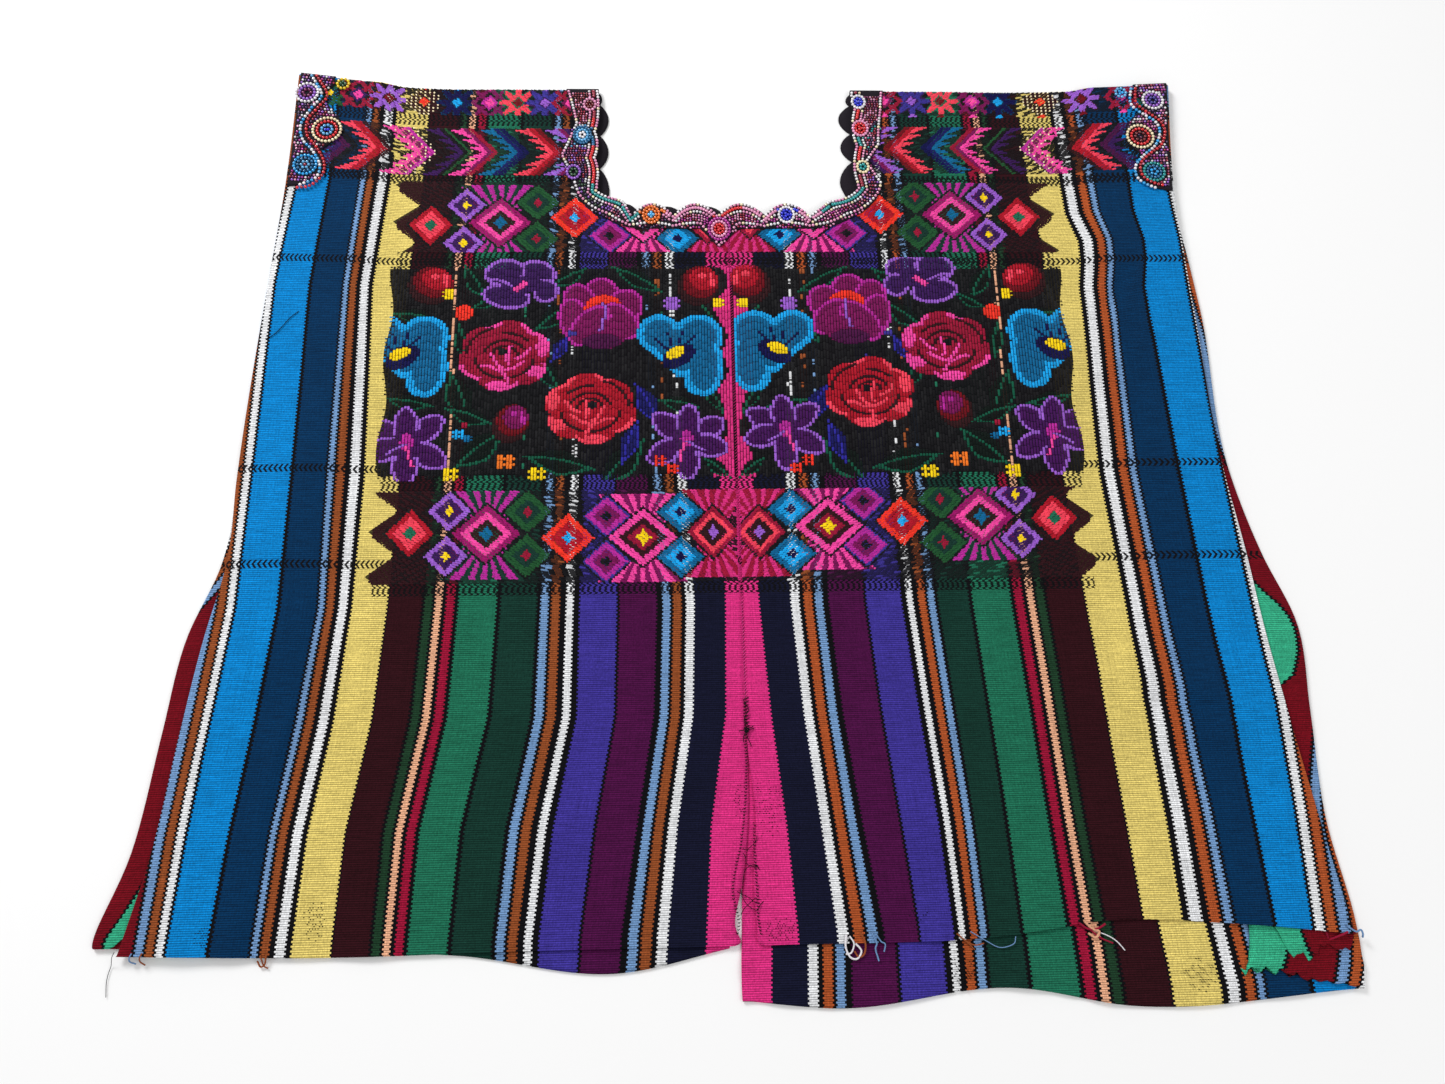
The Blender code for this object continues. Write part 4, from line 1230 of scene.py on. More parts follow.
def stitch_mesh(name, side, stitches, half_width, height, material, random):
    """Raised stitches, low ridges that taper at their ends, from (across, down, across, down, ink) rows."""
    starts, ends = (np.array([row[place:place + 2] for row in stitches]) for place in (0, 2))
    inks = np.array([row[4] for row in stitches])
    count = len(inks)
    length = np.linalg.norm(ends - starts, axis=1, keepdims=True)
    ahead = (ends - starts) / length
    beside = np.stack([-ahead[:, 1], ahead[:, 0]], axis=1)
    taper = np.minimum(END_TAPER, length * 0.3)
    stations = np.stack([starts, starts + ahead * taper, ends - ahead * taper, ends], axis=1)
    widths = np.array([0.7, 1, 1, 0.7]) * half_width
    reach = beside[:, None, :] * widths[None, :, None]
    places = np.stack([stations - reach, stations, stations + reach], axis=2)
    uneven = 1 + 0.18 * (random.random(count) - 0.5)
    lifts = np.full(places.shape[:3], STITCH_LIFT)
    lifts[:, :, 1] = np.array([0.35, 1, 1, 0.35]) * height * uneven[:, None]
    points = on_front(side, places[..., 0], places[..., 1], lifts)
    corner = (np.arange(3)[:, None] * 3 + np.arange(2)).ravel()
    quads = np.stack([corner, corner + 1, corner + 4, corner + 3], axis=-1)
    faces = (np.arange(count)[:, None, None] * 12 + quads).reshape(-1, 4)
    shade = np.array([linear(ink) for ink in (*INKS, "black")])[inks]
    on_ground = inks == GROUND_INK
    middles = ((starts + ends) / 2)[on_ground]
    shade[on_ground] = ground_colours(side, middles[:, 0], middles[:, 1], random)
    shade = shade * (1 + 0.3 * (random.random((count, 1)) - 0.5))
    # Painted highlights: black cords are lifted to a grey at random, in place of their sheen.
    shade = shade + np.where(inks == INKS.index("black"), 0.009 * random.random(count) ** 2, 0)[:, None]
    colours = np.ones((count, 12, 4))
    colours[..., :3] = shade[:, None, :]
    along = np.linspace(0, 1, 4)[None, :, None] * length[:, None, :]
    cross = np.array([-1, 0, 1]) * half_width
    twist = np.stack(np.broadcast_arrays(along, cross, (np.arange(count) * 1.7 % 97)[:, None, None]), axis=-1)
    return make_mesh(name, points, faces, material, thread=colours, twist=twist)


def clear_of_trims(side, across, down):
    """True where a stitch lies on the front, inside its edges and away from the neck hole."""
    edge = side_edge(side, "front", down)
    inside = (across > centre_edge(side, "front", down) + 0.5) & (across < edge - 3)
    return inside & (neck_distance(across, down) > 6) & (down > SHOULDER_INSET - 1)


def weave_cords(name, side, canvas, material, random):
    """The flower panel: upright cords, each cut into runs of one colour."""
    stitches = []
    for place, across in enumerate(canvas.acrosses):
        line = np.where(clear_of_trims(side, across, canvas.downs), canvas.ink[:, place], NO_INK)
        for first, last, ink in runs_of(line, PICK_PITCH, LONGEST_RUN, random):
            start, end = (canvas.downs[0] + number * PICK_PITCH - PICK_PITCH / 2 for number in (first, last))
            stitches.append((across, start + RUN_GAP, across, end - RUN_GAP, ink))
    return stitch_mesh(name, side, stitches, CORD_PITCH * 0.4, 0.75, material, random)


def weave_rows(name, side, canvases, material, random):
    """The bands: rows of slanting floats, cut to short stitches."""
    stitches = []
    for canvas in canvases:
        for place, down in enumerate(canvas.downs):
            line = np.where(clear_of_trims(side, canvas.acrosses, down), canvas.ink[place], NO_INK)
            shift = 0.35 * STITCH_STEP * (place % 2)
            for first, last, ink in runs_of(line, STITCH_STEP, LONGEST_STITCH, random):
                near = canvas.acrosses[first] - STITCH_STEP / 2 + shift
                far = canvas.acrosses[last - 1] + STITCH_STEP / 2 + shift
                stitches.append((near, down + ROW_SLANT, far, down - ROW_SLANT, ink))
    return stitch_mesh(name, side, stitches, ROW_PITCH * 0.5, 0.6, material, random)


def make_brocade(side, name, material):
    """All the weaving of one half."""
    random = np.random.default_rng(7 + side)

    def band(draw, acrosses, start, end, *table):
        canvas = Canvas(side, np.arange(*acrosses, STITCH_STEP), np.arange(start, end, ROW_PITCH))
        draw(canvas, *table)
        return canvas

    cords = np.arange(CORD_PITCH / 2, BROCADE_EDGE + 3, CORD_PITCH)
    flowers = Canvas(side, cords, np.arange(*FLOWER_PANEL, PICK_PITCH))
    draw_flowers(flowers)
    show_stripes(flowers, random)
    upper = band(draw_diamonds, (0, BROCADE_EDGE), *UPPER_DIAMONDS, UPPER_MIDDLE)
    lower = band(draw_diamonds, (0, BROCADE_EDGE), *LOWER_DIAMONDS, LOWER_MIDDLE)
    chevrons = band(draw_chevrons, SHOULDER_SPAN, *CHEVRON_BAND)
    stars = band(draw_stars, SHOULDER_SPAN, SHOULDER_INSET, STAR_BAND[1])
    return [
        weave_cords(f"flowers_{name}", side, flowers, material, random),
        weave_rows(f"diamonds_{name}", side, (upper, lower), material, random),
        weave_rows(f"shoulder_weave_{name}", side, (chevrons, stars), material, random),
    ]


# Felt trims and beads

# Where the scallops meet, along the neck hole's U.
ROOTS = {
    "front": (-226, -182, -155, -122, -83, -47, -9, 31, 70, 125, 168, 206, 226),
    "back": (-226, -214, -181, -147, -110, -70, -35, 0, 35, 70, 112, 155, 184, 214, 226),
}
SCALLOP_COLUMNS = ("along", "front_root", "front_height", "back_root", "back_height")
SCALLOPS = (
    (-226, 1.5, 2.5, 1.5, 7), (-205, 3, 3, 0, 8), (-130, 3, 4, 0, 8), (-95, 0, 13, 0, 13), (95, 0, 13, 0, 13),
    (130, 3, 4, 0, 12), (205, 3, 3, 0, 12), (226, 1.5, 2.5, 1.5, 10),
)
# The trim's reach from the neck hole, at places along the U.
NECK_REACHES = (
    (-226, 30), (-190, 22), (-158, 34), (-125, 21), (-100, 11), (-24, 12), (-8, 31), (8, 12), (100, 11),
    (130, 25), (152, 14), (170, 25), (226, 31),
)
# The armhole trims' (down, width).
ARMHOLE_WIDTHS = (
    (0, 29), (10, 31), (24, 20), (44, 38), (62, 38), (76, 25), (91, 31), (103, 25), (109, 15), (112, 4),
)
ARMHOLE_INSET = 1
SCALLOP_STEPS = 10
TRIM_COLUMNS = 6
FULL_SCALLOP = 36
SCALLOP_ROUNDNESS = 0.8


def scalloped_edge(layer, along):
    """Offset of the trim's scalloped edge from the neck hole's U, negative into the hole."""
    numbers = (SCALLOP_COLUMNS.index(f"{layer}_{part}") for part in ("root", "height"))
    root, tall = (straight(SCALLOPS, along, number) for number in numbers)
    roots = np.array(ROOTS[layer])
    place = np.clip(np.searchsorted(roots, along, side="right") - 1, 0, len(roots) - 2)
    span = roots[place + 1] - roots[place]
    share = np.clip((along - roots[place]) / span, 0, 1)
    return root - tall * np.minimum(1, span / FULL_SCALLOP) * np.sin(math.pi * share) ** SCALLOP_ROUNDNESS


def trim_stations(layer):
    roots = ROOTS[layer]
    pieces = [np.linspace(start, end, SCALLOP_STEPS + 1)[:-1] for start, end in zip(roots, roots[1:])]
    return np.concatenate([*pieces, [roots[-1]]])


def neck_reach(along):
    return straight(NECK_REACHES, along)


def trim_row(along, layer, turn, middle, radius):
    offsets = np.linspace(float(scalloped_edge(layer, along)), float(neck_reach(along)), TRIM_COLUMNS + 1)
    return bent_row(1, *neck_point(along, offsets), turn, middle, radius)


def felt_wall(row, path, fold, **closed):
    """A closed wall of felt, from its row function, the path of its rows and the radius of its fold."""
    middle = TRIM_LIFT + CLOTH / 2 + fold
    radius = fold + CLOTH / 2 + GAP + FELT / 2
    over, under = ([row(*place, middle, radius + step) for place in path] for step in (FELT / 2, -FELT / 2))
    return wall(np.array(over), np.array(under), **closed)


def make_neck_felt(material):
    """The ring of felt round the neck hole."""
    end = ROOTS["front"][-1]
    path = [(along, "front", math.pi) for along in trim_stations("front")]
    path += [(end, "front", turn) for turn in FOLD_TURNS[::-1]]
    path += [(along, "back", 0) for along in trim_stations("back")[::-1]]
    path += [(-end, "front", turn) for turn in FOLD_TURNS]
    points, faces = felt_wall(trim_row, path, FOLD_RADIUS, closed_rows=True)
    return make_mesh("neck_felt", points, faces[:, ::-1], material)


def armhole_width(down):
    return straight(ARMHOLE_WIDTHS, down)


def armhole_row(side, down, turn, middle, radius):
    edge = float(side_edge(side, "front", down)) - ARMHOLE_INSET
    across = np.linspace(edge - float(armhole_width(down)), edge, TRIM_COLUMNS + 1)
    return bent_row(side, across, down, turn, middle, radius)


def make_armhole_felt(name, side, material):
    """The strip along an armhole, folded over the shoulder."""
    downs = np.linspace(ARMHOLE_WIDTHS[-1][0], SHOULDER_INSET, 46)
    path = [(side, down, 0) for down in downs]
    path += [(side, SHOULDER_INSET, turn) for turn in FOLD_TURNS]
    path += [(side, down, math.pi) for down in downs[::-1]]
    points, faces = felt_wall(armhole_row, path, SIDE_RADIUS)
    return make_mesh(name, points, faces[:, ::-side], material)


def sphere_template():
    """Points and triangles of a small round bead of radius 1."""
    rings, sectors = 5, 8
    points = [(0, 0, 1)]
    for ring in range(1, rings):
        tilt = math.pi * ring / rings
        for sector in range(sectors):
            turn = 2 * math.pi * sector / sectors
            points.append((math.sin(tilt) * math.cos(turn), math.sin(tilt) * math.sin(turn), math.cos(tilt)))
    points.append((0, 0, -1))
    faces = []
    for sector in range(sectors):
        after = (sector + 1) % sectors
        faces.append((0, 1 + sector, 1 + after))
        last = 1 + (rings - 2) * sectors
        faces.append((len(points) - 1, last + after, last + sector))
        for ring in range(rings - 2):
            a = 1 + ring * sectors
            b = a + sectors
            faces.append((a + sector, b + sector, b + after))
            faces.append((a + sector, b + after, a + after))
    return np.array(points), np.array(faces)


BEAD_RADIUS = 1.45
RING_BEAD = 1.4
CLUSTER_SQUASH = 0.85
ROWS_END = 224  # along the U, where the neck's bead rows end
EDGE_MARGIN = 1.6
SMALL_PITCH = 2.4
BEAD_PITCH = 3.5


def bead_mesh(name, beads, material, random):
    """Joined beads: each is (x, y, z in mm, radius, colour)."""
    template, triangles = sphere_template()
    radii = np.array([bead[3] for bead in beads])
    shape = template[None] * radii[:, None, None] * np.array([1, 1, 0.8])
    points = np.array([bead[:3] for bead in beads])[:, None, :] + shape
    faces = (triangles[None] + (np.arange(len(beads)) * len(template))[:, None, None]).reshape(-1, 3)
    uneven = 1 + 0.3 * (random.random((len(beads), 1)) - 0.5)
    shades = np.array([linear(bead[4]) for bead in beads]) * uneven
    colours = np.ones((len(beads), len(template), 4))
    colours[..., :3] = np.minimum(shades, 1)[:, None, :]
    return make_mesh(name, points, faces, material, thread=colours)


def smooth_curve(points, steps):
    """A smooth curve through points, with a number of steps between each two."""
    padded = np.concatenate([2 * points[:1] - points[1:2], points, 2 * points[-1:] - points[-2:-1]])
    share = np.linspace(0, 1, steps, endpoint=False)[:, None]
    pieces = []
    for before, start, end, after in zip(padded, padded[1:], padded[2:], padded[3:]):
        bend = 2 * before - 5 * start + 4 * end - after
        twist = 3 * (start - end) + after - before
        pieces.append(start + 0.5 * share * (end - before + share * (bend + share * twist)))
    return np.concatenate([*pieces, points[-1:]])


def spaced(line, pitch):
    """Places evenly spaced along a line of points."""
    steps = np.linalg.norm(np.diff(line, axis=0), axis=1)
    travelled = np.concatenate([[0], np.cumsum(steps)])
    count = max(2, int(round(travelled[-1] / pitch)) + 1)
    wanted = np.linspace(0, travelled[-1], count)
    return np.stack([np.interp(wanted, travelled, line[:, axis]) for axis in range(line.shape[1])], axis=1)


def pick_colour(rows, place):
    """The colour of the last row whose start lies before place."""
    found = rows[0][1]
    for start, colour in rows:
        if place >= start:
            found = colour
    return found


# Colours of the neck trim's middle row and of its small beads, from places along the U.
CENTRE_BEADS = (
    (-230, "crimson"), (-196, "bead_red"), (-186, "teal_blue"), (-168, "bead_red"), (-128, "turquoise"),
    (-76, "orange"), (-54, "bead_pink"), (-14, "bead_red"), (12, "bead_pink"), (42, "royal_blue"),
    (60, "bead_pink"), (82, "turquoise"), (126, "crimson"), (140, "bead_red"), (168, "turquoise"),
    (184, "bead_red"), (206, "crimson"),
)
SMALL_BEADS = (
    (-230, ("crimson", "dark_red", "bead_pink", "crimson")),
    (-190, ("plum", "bead_blue", "lilac", "bead_white")), (-165, ("crimson", "lilac", "dark_violet", "plum")),
    (-135, ("leaf", "lilac", "dark_violet", "bead_white")),
    (-100, ("plum", "crimson", "bead_pink", "dark_violet")),
    (-50, ("bead_pink", "crimson", "magenta", "bead_pink")),
    (52, ("bead_pink", "crimson", "plum", "magenta")), (110, ("crimson", "lilac", "plum", "bead_pink")),
    (160, ("dark_violet", "crimson", "turquoise", "bead_pink")),
    (195, ("crimson", "plum", "dark_red", "bead_pink")),
)
EDGE_BEADS = ("bead_white", "bead_pink", "cream", "bead_white", "bead_pink", "bead_white", "bead_pink")

# Clusters on the neck trim: place along the U, offset, then radius and colour of each ring.
CLUSTERS = (
    (-66, -1, ((8, "orange"), (5, "orange"), (2.2, "bead_blue"), (0, "cyan"))),
    (-8, 13, ((10.5, "magenta"), (7.4, "bead_pink"), (4.4, "bead_red"), (1.4, "bead_red"))),
    (50, -1, ((7.6, "bead_white"), (4.6, "royal_blue"), (1.6, "royal_blue"))),
    (-178, 15, ((8.5, "teal_blue"), (5.6, "bead_blue"), (2.6, "bead_white"))),
    (186, 8, ((7.6, "bead_pink"), (4.8, "bead_red"), (1.6, "bead_red"))),
    (146, 8, ((5.8, "cream"), (2.6, "turquoise"))),
    (214, 8, ((6.6, "bead_white"), (3.6, "royal_blue"), (1, "royal_blue"))),
    (-210, 9, ((6, "bead_pink"), (3, "dark_red"))), (-140, 22, ((6.5, "lilac"), (3.2, "leaf"))),
)


def neck_spot(along, offset, height):
    return in_frame(1, *neck_point(along, offset), height)


def add_rings(beads, middle, rings, pitch, lift, squash=1):
    """Adds rings of beads round a middle: each ring is (radius, colour)."""
    for reach, colour in rings:
        count = max(1, int(2 * math.pi * reach / pitch))
        for number in range(count):
            turn = 2 * math.pi * number / count
            place = (middle[0] + squash * reach * math.cos(turn), middle[1] + reach * math.sin(turn))
            beads.append((*place, middle[2] + lift, RING_BEAD, colour))


def is_clear(spot, laid, distance):
    """True where a spot is further than a distance from all beads laid."""
    return np.min(np.hypot(*(laid - spot[:2]).T)) > distance


def places_of(beads):
    return np.array([bead[:2] for bead in beads])


def trim_top(fold):
    """Height of a trim's upper face, from the radius of its fold."""
    return TRIM_LIFT + CLOTH / 2 + 2 * fold + CLOTH / 2 + GAP + FELT


def make_neck_beads(material):
    """Pale rows along both edges of the trim, a coloured row between them, clusters and small beads."""
    random = np.random.default_rng(3)
    top = trim_top(FOLD_RADIUS)
    beads = []
    for along, offset, rings in CLUSTERS:
        add_rings(beads, neck_spot(along, offset, top), rings, 2.9, 1.1, CLUSTER_SQUASH)
    along = np.linspace(-ROWS_END, ROWS_END, 900)
    inner = scalloped_edge("front", along)
    outer = neck_reach(along) - EDGE_MARGIN - 0.25 * (straight(SCALLOPS, along) - inner)
    rows = ((inner + EDGE_MARGIN, 1.3), (outer, 1.3), (inner + 5, 1.5), (inner + 5 + 3.6, 1.2))
    for row, (offset, radius) in enumerate(rows):
        line = np.concatenate([neck_spot(along, offset, top), along[:, None]], axis=1)
        for number, spot in enumerate(spaced(line, radius * (2.3 if row == 2 else 3.3))):
            colour = EDGE_BEADS[(number * 5 + row) % len(EDGE_BEADS)]
            if row == 2:
                colour = pick_colour(CENTRE_BEADS, spot[3])
            if is_clear(spot, places_of(beads), 2.2):
                beads.append((*spot[:2], spot[2] + radius * 0.5, radius, colour))
    for place in np.arange(2 - ROWS_END, ROWS_END - 2, SMALL_PITCH):
        near = float(scalloped_edge("front", place)) + 1.4
        far = float(neck_reach(place)) - 1
        offsets = np.arange(near, far, SMALL_PITCH) + random.random() * 1.2
        fill_beads(neck_spot(place, offsets, top), beads, 0.95, pick_colour(SMALL_BEADS, place), random)
    return bead_mesh("neck_beads", beads, material, random)


# Wavy bead rows of the armhole trims, as (across, down).
PALE_ROWS = {
    -1: (
        (364, 4.7), (353.6, 22.6), (361, 36.4), (368.8, 54.1), (365.7, 68.4), (357.1, 77.3), (349, 91.2),
        (351.2, 103.8), (363.8, 111.2),
    ),
    1: (
        (367, 7.4), (364.4, 20.8), (368.6, 29.3), (376.3, 35.7), (384.6, 42.9), (387, 53.5), (381.1, 66.7),
        (369.2, 76.6), (360.6, 86.7), (359.6, 96.9), (364.8, 104.2), (374.6, 109.5),
    ),
}
RED_ROWS = {
    -1: (
        (359.7, 4.1), (348.9, 22), (355.8, 35.9), (363.3, 48.6), (362.6, 63.3), (353.7, 74.2), (345.8, 88),
        (345.9, 100.5), (355.3, 111.6), (365.9, 114.1),
    ),
    1: (
        (371.1, 7.2), (369.4, 21), (374.6, 28.8), (381.7, 35.2), (389.4, 43.1), (391.6, 53.7), (386.2, 66.9),
        (376.4, 73.9), (366, 83.4), (364.2, 92.6), (366.7, 99.4), (373.8, 104.4), (381.5, 107.1),
    ),
}
# Rings of beads, outermost first: across, down, then radius and colour of each ring.
RINGS = {
    -1: (
        (366.5, 22, ((9.5, "bead_white"), (6.6, "lilac"), (3.4, "plum"))),
        (346.1, 56.7, ((12, "cream"), (8.4, "bead_red"), (4.6, "bead_blue"), (1.2, "royal_blue"))),
        (361.5, 92, ((9.4, "cyan"), (6.4, "teal_blue"), (3.2, "bead_blue"), (0, "crimson"))),
        (336, 9.5, ((5, "bright_yellow"), (2, "leaf"))),
    ),
    1: (
        (385.3, 20.2, ((9, "bead_white"), (6.2, "lilac"), (3, "violet"))),
        (368.6, 57.3, ((11.6, "cream"), (8, "bead_red"), (4.4, "dark_red"))),
        (376.1, 93.5, ((9, "turquoise"), (6, "teal_blue"), (2.8, "cyan"))),
        (357, 11, ((4.6, "bead_blue"), (1.6, "cyan"))),
    ),
}
FILL_COLOURS = ("plum", "magenta", "lilac", "bead_white", "bead_pink", "dark_violet", "crimson")
FILL_PITCH = 2.7


def fill_beads(spots, beads, radius, colours, random):
    """Adds small beads at spots that are clear of the first beads laid."""
    laid = places_of(beads)
    for spot in spots:
        if is_clear(spot, laid, 1.3 + radius):
            beads.append((*spot[:2], spot[2] + radius * 0.4, radius, colours[random.integers(len(colours))]))


def make_armhole_beads(name, side, material):
    """A pale row and a red row that wave along an armhole trim, rings in their bays, small beads between."""
    random = np.random.default_rng(20 + side)
    top = trim_top(SIDE_RADIUS)
    beads = []
    pale = ("bead_blue", "bead_white", "bead_white", "cyan")
    for table, colours in ((PALE_ROWS, pale), (RED_ROWS, ("bead_red", "red"))):
        curve = smooth_curve(np.array(table[side]), 16)
        for number, spot in enumerate(spaced(in_frame(side, *curve.T, top), BEAD_PITCH)):
            colour = colours[number % len(colours)]
            beads.append((*spot[:2], spot[2] + BEAD_RADIUS * 0.5, BEAD_RADIUS, colour))
    for across, down, rings in RINGS[side]:
        middle = in_frame(side, across, down, top)
        add_rings(beads, middle, rings, 3.1, 0.8)
    downs = np.arange(SHOULDER_INSET, 108, FILL_PITCH)
    spots = []
    for row, down in enumerate(downs):
        edge = float(side_edge(side, "front", down)) - ARMHOLE_INSET - 1.5
        width = float(armhole_width(down)) - 3
        acrosses = np.arange(edge - width, edge, FILL_PITCH) + FILL_PITCH / 2 * (row % 2)
        acrosses = acrosses + 0.5 * (random.random(len(acrosses)) - 0.5)
        spots.extend(in_frame(side, acrosses[acrosses < edge], down, top))
    fill_beads(spots, beads, 1.05, FILL_COLOURS, random)
    return bead_mesh(name, beads, material, random)


# Sewing thread: the seam's stitches, its knot, and loose ends

SEAM_START = 470
KNOT_DOWN = 572
OPEN_FROM = 548
SLIT_END = 714
# Loose threads across the slit: down, reach, sag.
SLIT_THREADS = ((652, 7, 5), (664, 9, 4), (676, 12, -8), (688, 14, 10), (697, 12, -6), (690, 16, 2))


def tube(path, radius, sides=5):
    """Points and quads of a thin thread along a path."""
    path = np.asarray(path, float)
    ahead = np.gradient(path, axis=0)
    ahead /= np.linalg.norm(ahead, axis=1, keepdims=True) + 1e-12
    across = np.cross(ahead, np.array([0.13, 0.07, 1]))
    across /= np.linalg.norm(across, axis=1, keepdims=True) + 1e-12
    up = np.cross(across, ahead)
    turns = 2 * math.pi * np.arange(sides) / sides
    ring = across[:, None] * np.cos(turns)[None, :, None] + up[:, None] * np.sin(turns)[None, :, None]
    points = (path[:, None] + ring * radius).reshape(-1, 3)
    rows = np.arange(len(path) - 1)[:, None] * sides
    place = np.arange(sides)[None, :]
    after = (place + 1) % sides
    quads = np.stack([rows + place, rows + after, rows + sides + after, rows + sides + place], axis=-1)
    return points, quads.reshape(-1, 4)


def thread_mesh(name, threads, material):
    """Joined threads: each is (path in mm, radius, colour)."""
    points, faces, colours = [], [], []
    start = 0
    for path, radius, colour in threads:
        spots, quads = tube(path, radius)
        points.append(spots)
        faces.append(quads + start)
        colours.append(np.tile([*linear(colour), 1], (len(spots), 1)))
        start += len(spots)
    points, faces, colours = (np.concatenate(parts) for parts in (points, faces, colours))
    return make_mesh(name, points, faces, material, thread=colours, twist=points)


def on_front_path(side, places, lift):
    """A path over the front's upper face through (across, down) places."""
    return on_front(side, *np.array(places, float).T, lift)


def make_seam(material):
    """Whip stitches down both selvages, the knot that ends them, and the loose threads of the slit."""
    random = np.random.default_rng(5)
    threads = []
    for down in np.arange(NECK_DEPTH + 22, KNOT_DOWN, 2.6):
        near, far = (float(centre_edge(side, "front", down)) for side in (-1, 1))
        open_end = down > OPEN_FROM
        reach = (1.6 if open_end else 0.8) + 0.4 * random.random()
        left = on_front_path(-1, [(near + reach, down + 1), (near + 0.2, down + 0.3)], 0.25)
        right = on_front_path(1, [(far + 0.2, down - 0.3), (far + reach, down - 1)], 0.25)
        path = np.concatenate([left, right])
        path[1:3, 2] += 0.25
        shade = "black" if open_end else ("hot_pink" if down > SEAM_START else "pink")
        threads.append((path, 0.3 if open_end else 0.2, shade))
    for side, start in ((-1, KNOT_DOWN - 20), (1, 640)):
        for down in np.arange(start, SLIT_END, 2.3):
            edge = float(centre_edge(side, "front", down))
            reach = 1.5 + 0.7 * random.random()
            places = [(edge + 0.2, down), (edge + reach * 0.6, down + 0.9), (edge + reach, down + 0.3)]
            threads.append((on_front_path(side, places, 0.3), 0.36, "black"))

    def add(x, y, z, radius):
        threads.append((np.stack([x, y, z], axis=1), radius, "black"))

    knot_x, knot_y = SEAM_X + 3.9, SHOULDER_Y - KNOT_DOWN
    share = np.linspace(0, 1, 26)
    add(knot_x + 1.6 * np.sin(11 * share), knot_y + 24 * share - 2, 4.4 + 0.5 * np.cos(11 * share), 0.3)
    share = np.linspace(0, 1, 14)
    for number in range(5):
        turn = number * 1.3
        x, y = 1.3 * np.cos(turn + 5 * share), 1.2 * np.sin(turn * 1.3 + 4 * share)
        add(knot_x + x, knot_y + y, 4.3 + 0.5 * np.sin(3 * share + number), 0.4)
    share = np.linspace(0, 1, 12)
    for number, (x_end, y_end) in enumerate(((-5.2, -0.8), (5.6, 1), (-3.2, -9), (2, -12), (4.6, 3))):
        x = knot_x + x_end * share + 0.8 * np.sin(5 * share + number)
        add(x, knot_y + y_end * share, 4.3 + 0.3 * np.sin(5 * share), 0.32)
    share = np.linspace(0, 1, 22)
    for number, (down, reach, sag) in enumerate(SLIT_THREADS):
        middle = SEAM_X + float(column(CENTRE, down, edge_column(1, "front"))) - 4
        x = middle - reach / 2 + (reach + 3) * share + 1.2 * np.sin(9 * share + number)
        y = SHOULDER_Y - down - sag * np.sin(math.pi * share) - 9 * (share - 0.5) * (1 if number % 2 else -1)
        add(x, y, 4.6 + 0.9 * np.sin(7 * share + number), 0.26)
    return thread_mesh("seam_threads", threads, material)


# Loose yarn at the hems: side, colour, radius, and the places (across, down) that it runs through.
LOOSE_YARN = (
    (1, "bead_white", 0.75, ((70, 716), (69, 724), (72, 731), (77, 732), (80, 727), (76, 722))),
    (1, "bead_white", 0.6, ((72, 717), (75, 722), (73, 728), (69, 729))),
    (1, "brown", 0.7, ((80, 715), (83, 722), (82, 729), (78, 731), (75, 727))),
    (1, "light_blue", 0.6, ((88, 715), (91, 722), (90, 726), (92, 734))),
    (1, "light_blue", 0.5, ((91, 716), (94, 721), (97, 723), (96, 728))),
    (1, "brown", 0.5, ((148, 717), (154, 722), (160, 725), (167, 724))),
    (1, "brown", 0.45, ((150, 719), (156, 724), (160, 728))),
    (1, "light_blue", 0.36, ((158, 716), (168, 722), (178, 727), (188, 725), (190, 720))),
    (1, "peach", 0.9, ((240, 711), (245, 716), (250, 718), (247, 722), (242, 719))),
    (1, "crimson", 0.8, ((236, 712), (242, 716), (249, 716), (255, 713))),
    (1, "crimson", 0.6, ((243, 716), (250, 722), (259, 726))),
    (1, "bead_white", 0.42, ((246, 717), (256, 721), (262, 725), (267, 731))),
    (1, "light_blue", 0.7, ((427, 718), (433, 722), (437, 721), (438, 726))),
    (1, "crimson", 0.8, ((408, 728), (415, 727), (423, 724), (427, 722))),
    (1, "crimson", 0.6, ((412, 722), (416, 730), (421, 734))),
    (-1, "brown", 0.6, ((331, 720), (332, 726), (335, 728), (337, 724))),
    (-1, "brown", 0.5, ((335, 720), (333, 727), (330, 729))),
    (-1, "brown", 0.5, ((414, 717), (416, 722), (413, 725))),
    (-1, "light_blue", 0.5, ((421, 717), (423, 722), (419, 724))),
    (-1, "black", 0.22, ((433, 716), (436, 724), (438, 734), (437, 745))),
    (-1, "black", 0.3, ((379, 250.5), (372, 246), (366.3, 238.8), (360.7, 230.8), (354.2, 225))),
)

DOT_HALF = 0.45

# Patches where dark dots show between the ribs: side, across, down, half sizes, share that shows.
SPECKLES = (
    (1, 17, 628, 12, 22, 0.42), (1, 24, 712, 12, 9, 0.6), (-1, 2, 622, 5, 18, 0.3),
    (-1, 300, 700, 8, 16, 0.5), (-1, 372, 708, 8, 9, 0.6), (1, 150, 742, 12, 14, 0.5),
    (1, 120, 704, 8, 9, 0.3), (1, 320, 748, 14, 12, 0.4),
)


